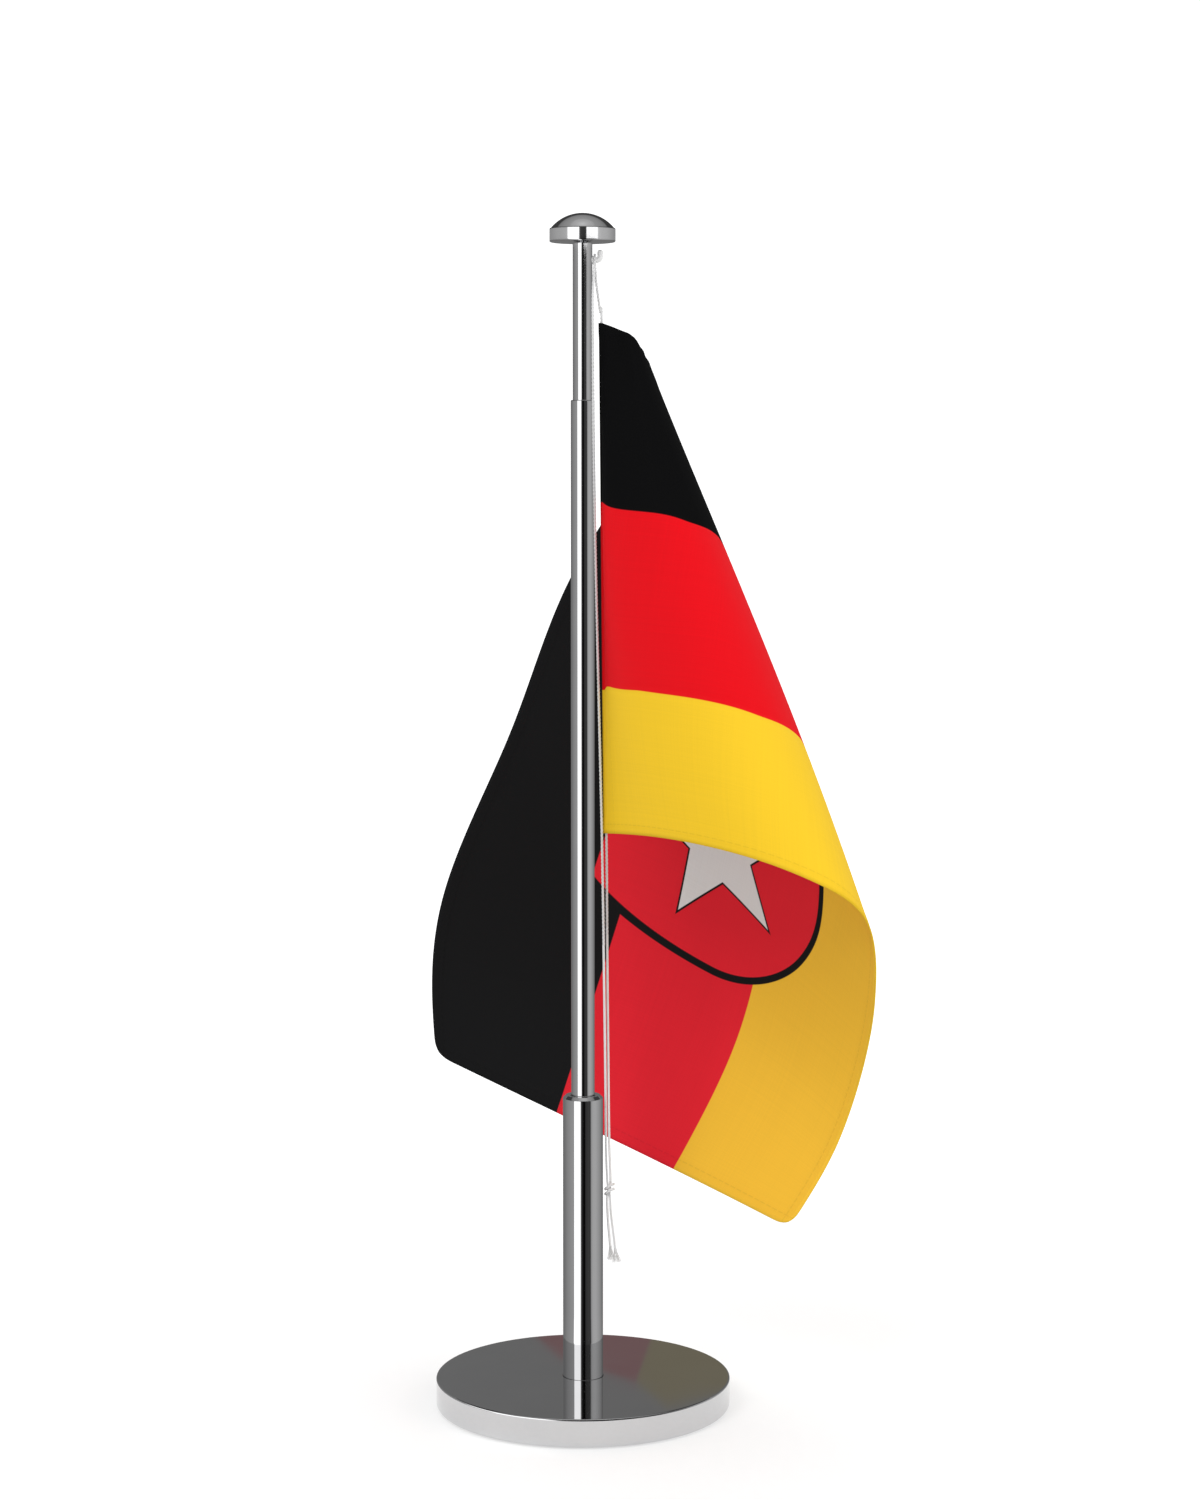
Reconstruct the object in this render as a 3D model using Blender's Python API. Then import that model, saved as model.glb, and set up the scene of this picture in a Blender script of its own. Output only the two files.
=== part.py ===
"""Desk flag stand: a disc base, a column, a two-stage telescopic mast with a mushroom
cap and a hook, a halyard and a cloth flag folded once round to the back.

Everything turned stands on the Z axis. The origin is on that axis, at the underside of
the felt pad. Metres throughout.
"""
import math

import bmesh
import bpy
import numpy as np
from mathutils import Matrix

MM = 0.001

# ---- fits -----------------------------------------------------------------
GAP = 0.3 * MM                 # between pieces that touch or are pressed together
SLIDE_FIT = 0.1 * MM           # radial play where one piece slides or turns in another

# ---- base -----------------------------------------------------------------
BASE_RADIUS = 44.2 * MM
BASE_HEIGHT = 9.0 * MM         # polished top face above the desk
BASE_EDGE = 0.5 * MM           # eased top edge
BASE_FOOT_EDGE = 1.2 * MM      # eased bottom edge
PAD_MARGIN = 4.2 * MM          # metal left round the felt pad
PAD_THICKNESS = 1.2 * MM
PAD_PROUD = 0.4 * MM           # how far the felt stands out under the metal
SEAT_DEPTH = 1.0 * MM          # shallow seat in the top face that centres the column

# ---- screw and washer under the column ------------------------------------
SCREW_RADIUS = 2.5 * MM
SCREW_HEAD_RADIUS = 4.3 * MM
SCREW_HEAD_HEIGHT = 2.4 * MM
SCREW_GRIP = 9.5 * MM          # thread that reaches up into the foot plug
SOCKET_RADIUS = 1.8 * MM       # hexagon socket, corner radius
SOCKET_DEPTH = 1.5 * MM
WASHER_RADIUS = 5.0 * MM
WASHER_THICKNESS = 0.8 * MM

# ---- column ---------------------------------------------------------------
COLUMN_RADIUS = 6.0 * MM
COLUMN_WALL = 1.0 * MM
COLUMN_SHOWING = 85.7 * MM     # above the base's top face
COLUMN_MOUTH_HEIGHT = 6.7 * MM  # thick stretch at the mouth, above the guide bush
COLUMN_MOUTH_CHAMFER = 0.9 * MM
COLUMN_MOUTH_GAP = 0.2 * MM    # open ring round the middle tube at the mouth
FOOT_PLUG_HEIGHT = 11.7 * MM

# ---- middle tube ----------------------------------------------------------
MIDDLE_RADIUS = 3.5 * MM
MIDDLE_WALL = 0.25 * MM
MIDDLE_SHOWING = 206.3 * MM    # above the column's mouth
MIDDLE_LIP_LAND = 0.5 * MM     # straight stretch of the mouth, under its rolled end
MIDDLE_TRAVEL = 40.0 * MM      # how far the middle tube pulls up out of the column

# ---- top tube -------------------------------------------------------------
TOP_SHOWING = 45.8 * MM        # from the middle tube's mouth to the cap's underside
TOP_PLAY = 0.35 * MM           # radial room between the top tube and the middle tube's bore
TOP_WALL = 0.35 * MM
TOP_ENGAGED = 160.0 * MM       # length of the top tube inside the middle tube

# ---- sleeves and spindles at the tubes' lower ends -------------------------
SLEEVE_HEIGHT = 10.0 * MM
SPINDLE_HEAD_HEIGHT = 2.0 * MM
SPINDLE_COLLAR_HEIGHT = 1.0 * MM
SPINDLE_SHANK_HEIGHT = 10.0 * MM
MIDDLE_WAIST_RADIUS = 1.6 * MM
TOP_WAIST_RADIUS = 1.3 * MM
SLEEVE_SPLIT_ANGLE = 24.0      # degrees left open in the split friction sleeve

# ---- cap, stud and insert ---------------------------------------------------
CAP_RADIUS = 9.65 * MM
CAP_RIM_HEIGHT = 4.0 * MM
CAP_DOME_HEIGHT = 4.4 * MM
CAP_EDGE = 0.35 * MM
STUD_RADIUS = 1.25 * MM
STUD_IN_CAP = 4.7 * MM
STUD_BELOW_CAP = 15.0 * MM
INSERT_DROP = 7.8 * MM         # insert top below the cap, which leaves room for the hook
INSERT_HEIGHT = 9.0 * MM

# ---- hook -----------------------------------------------------------------
HOOK_WIRE_RADIUS = 0.8 * MM
HOOK_SPIGOT_RADIUS = 0.5 * MM
HOOK_HEIGHT = 5.2 * MM         # hook shank below the cap's underside
HOOK_TIP_RISE = 3.0 * MM       # middle of the tip above the shank
HOOK_REACH = 2.25 * MM         # from the tube's wall to the middle of the upturned tip

# ---- flag -----------------------------------------------------------------
CLOTH_THICKNESS = 0.6 * MM
HOIST_DROP = 18.2 * MM         # from the hook's shank down to the top of the hoist
HOIST_HEIGHT = 150.0 * MM
HEM_RADIUS = 1.2 * MM
HEM_WALL = 0.4 * MM
HEM_TOP_X = 5.6 * MM
HEM_BOTTOM_X = 7.0 * MM

# Guide lines of the hanging cloth, from beside the hoist to the fly, in millimetres.
# Heights are from the top of the hoist.
TOP_HEM_LINE = (
    (10, -3, -1.4), (13, -6, -2.4), (17, -6, -5.4), (21, 13, -30.4),
    (-3, 30, -73.4), (-23, 44, -124.4), (-43, 54, -176.4), (-47, 71, -229.4),
)
MIDDLE_LINE = (
    (11, -15, -78.4), (24, -27, -80.4), (42, -28, -86.4), (55, -9, -103.4),
    (47, 12, -132.4), (39, 32, -168.4), (28, 45, -209.4), (10, 43, -251.4),
)
BOTTOM_HEM_LINE = (
    (24, -29, -149.4), (49, -48, -152.4), (73, -50, -162.4), (83, -34, -177.4),
    (86, -17, -196.4), (84, -1, -216.4), (77, 6, -244.4), (62, -3, -267.4),
)
CLOTH_STEPS_PER_SPAN = 4       # quads between two guide points
CLOTH_ROWS = 8                 # quads from top hem to bottom hem

# ---- halyard ----------------------------------------------------------------
CORD_RADIUS = 0.4 * MM
CORD_STEPS_PER_SPAN = 2        # tube rings between two points of a route
# Routes of the two strands and the two tails, in millimetres. Heights are from the hook's shank.
FREE_STRAND_ROUTE = (
    (3.60, -0.15, 1.5), (3.60, -0.95, 1.1), (3.60, -1.40, 0.0), (3.45, -1.75, -2.6),
    (3.15, -2.15, -7.1), (3.00, -2.60, -13.1), (3.05, -2.75, -23.1), (3.10, -2.90, -37.1),
    (3.30, -2.70, -56.1), (3.90, -2.20, -91.1), (4.80, -1.80, -131.1), (5.60, -1.50, -166.1),
    (6.20, -1.40, -201.1), (6.60, -1.00, -229.1), (6.85, -0.35, -251.1), (6.95, -0.05, -263.1),
    (7.35, 0.00, -272.9),
)
HEM_STRAND_ROUTE = (
    (3.60, 0.15, 1.5), (3.60, 0.95, 1.1), (3.60, 1.40, 0.0), (3.75, 1.30, -2.6),
    (4.10, 0.60, -7.1), (4.70, 0.15, -11.6), (5.35, 0.00, -15.1), (5.60, 0.00, -17.7),
    (5.95, 0.00, -55.1), (6.30, 0.00, -92.7), (6.65, 0.00, -130.1), (7.00, 0.00, -167.7),
    (7.12, 0.00, -181.1), (7.30, 0.10, -211.1), (7.60, 0.10, -241.1), (7.85, 0.00, -261.1),
    (8.25, 0.00, -272.9),
)
LONG_TAIL_ROUTE = (
    (8.15, 0.10, -278.2), (8.35, 0.20, -282.1), (8.90, 0.20, -287.1), (9.60, 0.00, -293.1),
    (9.95, -0.10, -298.3),
)
SHORT_TAIL_ROUTE = (
    (7.30, -0.10, -278.2), (7.35, -0.30, -282.1), (7.65, -0.40, -287.1), (8.15, -0.50, -292.6),
    (8.45, -0.50, -297.5),
)
KNOT_CENTRE = (7.8, 0.0, -275.6)
KNOT_HALF_SIZE = (1.35, 1.2, 2.3)

# ---- smoothness of round pieces --------------------------------------------
DISC_SIDES = 72
TUBE_SIDES = 36
SMALL_SIDES = 24
ARC_STEPS = 6
DOME_STEPS = 10
CORD_BEVEL_RESOLUTION = 2
SHARP_ANGLE = math.radians(28.0)

# ---- heights that follow from the sizes above --------------------------------
PAD_RECESS_TOP = PAD_THICKNESS + GAP
SCREW_HEAD_BOTTOM = PAD_RECESS_TOP + GAP
WASHER_BOTTOM = SCREW_HEAD_BOTTOM + SCREW_HEAD_HEIGHT + GAP
COUNTERBORE_TOP = WASHER_BOTTOM + WASHER_THICKNESS + GAP
SCREW_HOLE_RADIUS = SCREW_RADIUS + GAP
PAD_RADIUS = BASE_RADIUS - PAD_MARGIN
SEAT_FLOOR = BASE_HEIGHT - SEAT_DEPTH
COLUMN_TOP = BASE_HEIGHT + COLUMN_SHOWING
COLUMN_BOTTOM = SEAT_FLOOR + GAP
COLUMN_BORE = COLUMN_RADIUS - COLUMN_WALL
COLUMN_SHOULDER = COLUMN_TOP - COLUMN_MOUTH_HEIGHT
FOOT_PLUG_TOP = COLUMN_BOTTOM + FOOT_PLUG_HEIGHT
SLEEVE_ROOM = SLEEVE_HEIGHT + 2 * GAP
SPINDLE_COLLAR_TOP = SPINDLE_HEAD_HEIGHT + SLEEVE_ROOM + SPINDLE_COLLAR_HEIGHT
MIDDLE_SPINDLE_BOTTOM = FOOT_PLUG_TOP + 2 * GAP
MIDDLE_SLEEVE_BOTTOM = MIDDLE_SPINDLE_BOTTOM + SPINDLE_HEAD_HEIGHT + GAP
MIDDLE_BOTTOM = MIDDLE_SPINDLE_BOTTOM + SPINDLE_COLLAR_TOP + GAP
GUIDE_BUSH_BOTTOM = MIDDLE_SLEEVE_BOTTOM + SLEEVE_HEIGHT + MIDDLE_TRAVEL + 2 * GAP
GUIDE_BUSH_TOP = COLUMN_SHOULDER - GAP
MIDDLE_TOP = COLUMN_TOP + MIDDLE_SHOWING
MIDDLE_BORE = MIDDLE_RADIUS - MIDDLE_WALL
TOP_RADIUS = MIDDLE_BORE - TOP_PLAY
TOP_BORE = TOP_RADIUS - TOP_WALL
TOP_BOTTOM = MIDDLE_TOP - TOP_ENGAGED
CAP_UNDERSIDE = MIDDLE_TOP + TOP_SHOWING
TOP_END = CAP_UNDERSIDE - GAP
TOP_SPINDLE_BOTTOM = TOP_BOTTOM - GAP - SPINDLE_COLLAR_TOP
TOP_SLEEVE_BOTTOM = TOP_SPINDLE_BOTTOM + SPINDLE_HEAD_HEIGHT + GAP
HOOK_Z = CAP_UNDERSIDE - HOOK_HEIGHT
HOIST_TOP = HOOK_Z - HOIST_DROP


# ---- helpers ----------------------------------------------------------------
def clear_scene():
    for obj in list(bpy.data.objects):
        bpy.data.objects.remove(obj, do_unlink=True)


def make_material(name, colour, roughness, metallic):
    material = bpy.data.materials.new(name)
    material.use_nodes = True
    shader = material.node_tree.nodes["Principled BSDF"]
    shader.inputs["Base Color"].default_value = (*colour, 1.0)
    shader.inputs["Roughness"].default_value = roughness
    shader.inputs["Metallic"].default_value = metallic
    return material


def add_object(name, data, look, parent=None, height=0.0):
    """Link an object with its own material, standing on the Z axis at a height."""
    obj = bpy.data.objects.new(name, data)
    bpy.context.scene.collection.objects.link(obj)
    data.materials.append(make_material(name + "_finish", *look))
    obj.location = (0.0, 0.0, height)
    if parent is not None:
        obj.parent = parent
        obj.location.z = height - parent_height(parent)
    return obj


def parent_height(empty):
    height = 0.0
    while empty is not None:
        height += empty.location.z
        empty = empty.parent
    return height


def add_axis(name, height, parent=None):
    """An empty on the mast's axis that carries everything above a joint."""
    empty = bpy.data.objects.new(name, None)
    bpy.context.scene.collection.objects.link(empty)
    empty.location.z = height - parent_height(parent)
    empty.parent = parent
    return empty


def finish_mesh(bm, name, smooth=True):
    bmesh.ops.remove_doubles(bm, verts=bm.verts, dist=1e-7)
    bmesh.ops.recalc_face_normals(bm, faces=bm.faces)
    mesh = bpy.data.meshes.new(name)
    bm.to_mesh(mesh)
    bm.free()
    if smooth:
        mesh.shade_smooth()
        mesh.set_sharp_from_angle(angle=SHARP_ANGLE)
    return mesh


def turned(name, outline, look, height=0.0, parent=None, sides=TUBE_SIDES, closed=True):
    """Turn an outline of (radius, height) points into a solid of revolution.

    A closed outline makes a ring; an open one starts and ends on the axis.
    """
    bm = bmesh.new()
    points = [bm.verts.new((radius, 0.0, z)) for radius, z in outline]
    pairs = list(zip(points, points[1:]))
    if closed:
        pairs.append((points[-1], points[0]))
    edges = [bm.edges.new(pair) for pair in pairs]
    bmesh.ops.spin(
        bm, geom=points + edges, cent=(0.0, 0.0, 0.0), axis=(0.0, 0.0, 1.0),
        angle=2.0 * math.pi, steps=sides, use_merge=True, use_duplicate=False,
    )
    return add_object(name, finish_mesh(bm, name), look, parent, height)


def arc(centre, radius, start, end, steps=ARC_STEPS):
    """Points on a circular arc in the outline plane, angles in degrees."""
    angles = [math.radians(start + (end - start) * i / steps) for i in range(steps + 1)]
    return [(centre[0] + radius * math.cos(a), centre[1] + radius * math.sin(a)) for a in angles]


def smooth_curve(points, per_span):
    """Points on the natural cubic spline through hand-placed points."""
    points = np.array(points, dtype=float)
    count = len(points)
    matrix = np.eye(count)
    right = np.zeros_like(points)
    for i in range(1, count - 1):
        matrix[i, i - 1:i + 2] = (1.0, 4.0, 1.0)
        right[i] = 6.0 * (points[i - 1] - 2.0 * points[i] + points[i + 1])
    bend = np.linalg.solve(matrix, right)
    result = []
    for i in range(count - 1):
        for k in range(per_span):
            t = k / per_span
            s = 1.0 - t
            result.append(
                s * points[i] + t * points[i + 1]
                + ((s ** 3 - s) * bend[i] + (t ** 3 - t) * bend[i + 1]) / 6.0
            )
    result.append(points[-1])
    return np.array(result)


def cord_tube(name, route, look, parent):
    """A plain round cord along a route in millimetres, with heights from the hook's shank."""
    curve = bpy.data.curves.new(name, "CURVE")
    curve.dimensions = "3D"
    curve.bevel_depth = CORD_RADIUS
    curve.bevel_resolution = CORD_BEVEL_RESOLUTION
    curve.use_fill_caps = True
    spline = curve.splines.new("POLY")
    path = smooth_curve(route, CORD_STEPS_PER_SPAN) * MM
    spline.points.add(len(path) - 1)
    for point, place in zip(spline.points, path):
        point.co = (*place, 1.0)
    return add_object(name, curve, look, parent, HOOK_Z)


def ring_outline(inner, outer, height, chamfer=0.0):
    """A ring's cross-section, with outer edges chamfered by no more than half its wall."""
    if not chamfer:
        return [(inner, 0.0), (outer, 0.0), (outer, height), (inner, height)]
    edge = min(chamfer, (outer - inner) / 2.0)
    return [
        (inner, 0.0), (outer - edge, 0.0), (outer, edge),
        (outer, height - edge), (outer - edge, height), (inner, height),
    ]


# ---- finishes: colour, roughness, metallic ------------------------------------
CHROME = ((0.78, 0.78, 0.79), 0.05, 1.0)
BRASS = ((0.80, 0.62, 0.30), 0.25, 1.0)
ZINC = ((0.62, 0.63, 0.65), 0.35, 1.0)
NYLON = ((0.85, 0.84, 0.80), 0.45, 0.0)
BLACK_FELT = ((0.02, 0.02, 0.022), 0.95, 0.0)
CLOTH = ((0.75, 0.02, 0.03), 0.8, 0.0)
CORD = ((0.86, 0.86, 0.85), 0.75, 0.0)


# ---- base group -----------------------------------------------------------------
def base_disc():
    seat_radius = COLUMN_RADIUS + GAP
    recess_radius = PAD_RADIUS + GAP
    counterbore_radius = WASHER_RADIUS + GAP
    top_edge = arc((BASE_RADIUS - BASE_EDGE, BASE_HEIGHT - BASE_EDGE), BASE_EDGE, 0, 90, 3)
    foot_centre = (BASE_RADIUS - BASE_FOOT_EDGE, PAD_PROUD + BASE_FOOT_EDGE)
    foot_edge = arc(foot_centre, BASE_FOOT_EDGE, -90, 0, 4)
    outline = foot_edge + top_edge + [
        (seat_radius, BASE_HEIGHT), (seat_radius, SEAT_FLOOR),
        (SCREW_HOLE_RADIUS, SEAT_FLOOR), (SCREW_HOLE_RADIUS, COUNTERBORE_TOP),
        (counterbore_radius, COUNTERBORE_TOP), (counterbore_radius, PAD_RECESS_TOP),
        (recess_radius, PAD_RECESS_TOP), (recess_radius, PAD_PROUD),
    ]
    return turned("base_disc", outline, CHROME, sides=DISC_SIDES)


def felt_pad():
    outline = [(0.0, 0.0), (PAD_RADIUS, 0.0), (PAD_RADIUS, PAD_THICKNESS), (0.0, PAD_THICKNESS)]
    return turned("felt_pad", outline, BLACK_FELT, sides=DISC_SIDES, closed=False)


def base_screw():
    shank_top = SCREW_HEAD_HEIGHT + SCREW_GRIP + COUNTERBORE_TOP - WASHER_BOTTOM
    outline = [
        (0.0, 0.0), (SCREW_HEAD_RADIUS - GAP, 0.0), (SCREW_HEAD_RADIUS, GAP),
        (SCREW_HEAD_RADIUS, SCREW_HEAD_HEIGHT), (SCREW_RADIUS, SCREW_HEAD_HEIGHT),
        (SCREW_RADIUS, shank_top), (0.0, shank_top),
    ]
    screw = turned("base_screw", outline, ZINC, SCREW_HEAD_BOTTOM, sides=SMALL_SIDES, closed=False)
    bm = bmesh.new()
    bmesh.ops.create_cone(
        bm, cap_ends=True, segments=6, radius1=SOCKET_RADIUS, radius2=SOCKET_RADIUS,
        depth=2.0 * SOCKET_DEPTH,
    )
    cutter = add_object("screw_socket_cutter", finish_mesh(bm, "screw_socket_cutter", False), ZINC,
                        height=SCREW_HEAD_BOTTOM)
    cut(screw, cutter)
    return screw


def cut(obj, cutter):
    cutter.hide_render = True
    cutter.display_type = "WIRE"
    boolean = obj.modifiers.new(cutter.name, "BOOLEAN")
    boolean.operation = "DIFFERENCE"
    boolean.object = cutter


def base_washer():
    outline = ring_outline(SCREW_HOLE_RADIUS, WASHER_RADIUS, WASHER_THICKNESS)
    return turned("base_washer", outline, ZINC, WASHER_BOTTOM, sides=SMALL_SIDES)


def column_foot_plug():
    outline = ring_outline(SCREW_HOLE_RADIUS, COLUMN_BORE - GAP, FOOT_PLUG_HEIGHT, GAP)
    return turned("column_foot_plug", outline, ZINC, COLUMN_BOTTOM, sides=SMALL_SIDES)


def lower_column():
    mouth = MIDDLE_RADIUS + COLUMN_MOUTH_GAP
    rise = COLUMN_TOP - COLUMN_BOTTOM
    shoulder = COLUMN_SHOULDER - COLUMN_BOTTOM
    outline = [
        (COLUMN_BORE, 0.0), (COLUMN_RADIUS - GAP, 0.0), (COLUMN_RADIUS, GAP),
        (COLUMN_RADIUS, rise - COLUMN_MOUTH_CHAMFER), (COLUMN_RADIUS - COLUMN_MOUTH_CHAMFER, rise),
        (mouth + GAP, rise), (mouth, rise - GAP), (mouth, shoulder), (COLUMN_BORE, shoulder),
    ]
    return turned("lower_column", outline, CHROME, COLUMN_BOTTOM)


def guide_bush():
    height = GUIDE_BUSH_TOP - GUIDE_BUSH_BOTTOM
    outline = ring_outline(MIDDLE_RADIUS + SLIDE_FIT, COLUMN_BORE - GAP, height, GAP)
    return turned("guide_bush", outline, NYLON, GUIDE_BUSH_BOTTOM, sides=SMALL_SIDES)


# ---- telescopic mast --------------------------------------------------------------
def spindle_outline(head, waist, collar, shank):
    """A turned pin: head, waist for the sleeve, collar and a shank pressed in the tube."""
    shank_top = SPINDLE_COLLAR_TOP + SPINDLE_SHANK_HEIGHT
    collar_bottom = SPINDLE_HEAD_HEIGHT + SLEEVE_ROOM
    return [
        (0.0, 0.0), (head, 0.0), (head, SPINDLE_HEAD_HEIGHT), (waist, SPINDLE_HEAD_HEIGHT),
        (waist, collar_bottom), (collar, collar_bottom), (collar, SPINDLE_COLLAR_TOP),
        (shank, SPINDLE_COLLAR_TOP), (shank, shank_top), (0.0, shank_top),
    ]


def mast_foot_sleeve(parent):
    inner = MIDDLE_WAIST_RADIUS + SLIDE_FIT
    outline = ring_outline(inner, COLUMN_BORE - SLIDE_FIT, SLEEVE_HEIGHT, GAP)
    return turned("mast_foot_sleeve", outline, NYLON, MIDDLE_SLEEVE_BOTTOM, parent, SMALL_SIDES)


def mast_foot_spindle(parent):
    outline = spindle_outline(
        head=MIDDLE_RADIUS, waist=MIDDLE_WAIST_RADIUS,
        collar=MIDDLE_RADIUS, shank=MIDDLE_BORE - GAP,
    )
    return turned("mast_foot_spindle", outline, BRASS, MIDDLE_SPINDLE_BOTTOM, parent,
                  SMALL_SIDES, closed=False)


def middle_tube(parent):
    length = MIDDLE_TOP - MIDDLE_BOTTOM
    lip_bore = TOP_RADIUS + SLIDE_FIT
    roll = MIDDLE_RADIUS - lip_bore
    rolled_end = arc((lip_bore, length - roll), roll, 0, 90, 4)
    lip_bottom = length - roll - MIDDLE_LIP_LAND
    outline = [(MIDDLE_BORE, 0.0), (MIDDLE_RADIUS, 0.0)] + rolled_end + [
        (lip_bore, lip_bottom), (MIDDLE_BORE, lip_bottom - MIDDLE_WALL),
    ]
    return turned("middle_tube", outline, CHROME, MIDDLE_BOTTOM, parent)


def top_friction_sleeve(parent):
    """A split ring: an outline face spun most of the way round, with both ends closed."""
    inner = TOP_WAIST_RADIUS + SLIDE_FIT
    outer = MIDDLE_BORE - SLIDE_FIT
    bm = bmesh.new()
    outline = ring_outline(inner, outer, SLEEVE_HEIGHT, GAP)
    face = bm.faces.new([bm.verts.new((radius, 0.0, z)) for radius, z in outline])
    start = math.radians(SLEEVE_SPLIT_ANGLE / 2.0)
    bmesh.ops.rotate(bm, verts=bm.verts, cent=(0.0, 0.0, 0.0), matrix=Matrix.Rotation(start, 3, "Z"))
    bmesh.ops.spin(
        bm, geom=[face], cent=(0.0, 0.0, 0.0), axis=(0.0, 0.0, 1.0),
        angle=2.0 * (math.pi - start), steps=SMALL_SIDES, use_merge=False, use_duplicate=False,
    )
    mesh = finish_mesh(bm, "top_friction_sleeve")
    return add_object("top_friction_sleeve", mesh, BRASS, parent, TOP_SLEEVE_BOTTOM)


def top_spindle(parent):
    outline = spindle_outline(
        head=TOP_BORE, waist=TOP_WAIST_RADIUS, collar=TOP_RADIUS, shank=TOP_BORE - GAP,
    )
    return turned("top_spindle", outline, BRASS, TOP_SPINDLE_BOTTOM, parent,
                  SMALL_SIDES, closed=False)


def top_tube(parent):
    outline = ring_outline(TOP_BORE, TOP_RADIUS, TOP_END - TOP_BOTTOM)
    tube = turned("top_tube", outline, CHROME, TOP_BOTTOM, parent)
    bm = bmesh.new()
    hole_radius = HOOK_SPIGOT_RADIUS + GAP
    bmesh.ops.create_cone(
        bm, cap_ends=True, segments=16, radius1=hole_radius, radius2=hole_radius,
        depth=2.0 * TOP_RADIUS,
    )
    sideways = Matrix.Rotation(math.radians(90.0), 3, "Y")
    bmesh.ops.rotate(bm, verts=bm.verts, cent=(0.0, 0.0, 0.0), matrix=sideways)
    bmesh.ops.translate(bm, verts=bm.verts, vec=(TOP_RADIUS + STUD_RADIUS, 0.0, 0.0))
    cutter = add_object("hook_hole_cutter", finish_mesh(bm, "hook_hole_cutter"), CHROME,
                        parent, HOOK_Z)
    cut(tube, cutter)
    return tube


# ---- cap and hook -----------------------------------------------------------------
def cap_insert(parent):
    outline = ring_outline(STUD_RADIUS + GAP, TOP_BORE - GAP, INSERT_HEIGHT)
    height = CAP_UNDERSIDE - INSERT_DROP - INSERT_HEIGHT
    return turned("cap_insert", outline, BRASS, height, parent, SMALL_SIDES)


def cap_stud(parent):
    length = STUD_BELOW_CAP + STUD_IN_CAP
    outline = [(0.0, 0.0), (STUD_RADIUS, 0.0), (STUD_RADIUS, length), (0.0, length)]
    return turned("cap_stud", outline, ZINC, CAP_UNDERSIDE - STUD_BELOW_CAP, parent,
                  SMALL_SIDES, closed=False)


def finial_cap(parent):
    hole = STUD_RADIUS + GAP
    hole_depth = STUD_IN_CAP + GAP
    dome_edge = CAP_RADIUS - CAP_EDGE
    sphere = (dome_edge ** 2 + CAP_DOME_HEIGHT ** 2) / (2.0 * CAP_DOME_HEIGHT)
    dome_centre = (0.0, CAP_RIM_HEIGHT + CAP_DOME_HEIGHT - sphere)
    edge_angle = math.degrees(math.asin((CAP_RIM_HEIGHT - dome_centre[1]) / sphere))
    dome = arc(dome_centre, sphere, edge_angle, 90.0, DOME_STEPS)
    dome[-1] = (0.0, CAP_RIM_HEIGHT + CAP_DOME_HEIGHT)
    outline = [
        (0.0, hole_depth), (hole, hole_depth), (hole, 0.0), (CAP_RADIUS - CAP_EDGE, 0.0),
        (CAP_RADIUS, CAP_EDGE), (CAP_RADIUS, CAP_RIM_HEIGHT - CAP_EDGE),
    ] + dome
    return turned("finial_cap", outline, CHROME, CAP_UNDERSIDE, parent, 64, closed=False)


def halyard_hook(parent):
    """Bent wire with a thin spigot through the tube's wall and an upturned round tip."""
    curve = bpy.data.curves.new("halyard_hook", "CURVE")
    curve.dimensions = "3D"
    curve.bevel_depth = HOOK_WIRE_RADIUS
    curve.bevel_resolution = 4
    curve.use_fill_caps = True
    spigot = HOOK_SPIGOT_RADIUS / HOOK_WIRE_RADIUS
    wall = TOP_RADIUS + GAP
    bend = HOOK_WIRE_RADIUS
    tip_x = TOP_RADIUS + HOOK_REACH
    points = [(STUD_RADIUS + 2 * GAP, 0.0, spigot), (wall - 0.01 * MM, 0.0, spigot), (wall, 0.0, 1.0)]
    points += [(x, z, 1.0) for x, z in arc((tip_x - bend, bend), bend, -90, 0, 6)]
    straight_top = HOOK_TIP_RISE - HOOK_WIRE_RADIUS
    for x, z in arc((0.0, 0.0), 1.0, 8, 84, 5):
        points.append((tip_x, straight_top + HOOK_WIRE_RADIUS * z, x))
    spline = curve.splines.new("POLY")
    spline.points.add(len(points) - 1)
    for point, (x, z, radius) in zip(spline.points, points):
        point.co = (x, 0.0, z, 1.0)
        point.radius = radius
    return add_object("halyard_hook", curve, NYLON, parent, HOOK_Z)


# ---- flag and halyard ---------------------------------------------------------------
def hoist_hem(parent):
    """The sewn sleeve along the hoist, a thin tube that leans as the cord does."""
    outline = ring_outline(HEM_RADIUS - HEM_WALL, HEM_RADIUS, HOIST_HEIGHT)
    hem = turned("hoist_hem", outline, CLOTH, HOIST_TOP - HOIST_HEIGHT, parent, 16)
    hem.location.x = HEM_BOTTOM_X
    hem.rotation_euler.y = math.atan2(HEM_TOP_X - HEM_BOTTOM_X, HOIST_HEIGHT)
    return hem


def cloth_line(down, line):
    """A guide line of the cloth, with its first point beside the hem at a share of the hoist."""
    beside = HEM_RADIUS + GAP + CLOTH_THICKNESS
    x = HEM_TOP_X + (HEM_BOTTOM_X - HEM_TOP_X) * down + beside
    first = (x, 0.0, -HOIST_HEIGHT * down)
    points = [first] + [[value * MM for value in point] for point in line]
    return smooth_curve(points, CLOTH_STEPS_PER_SPAN)


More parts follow.
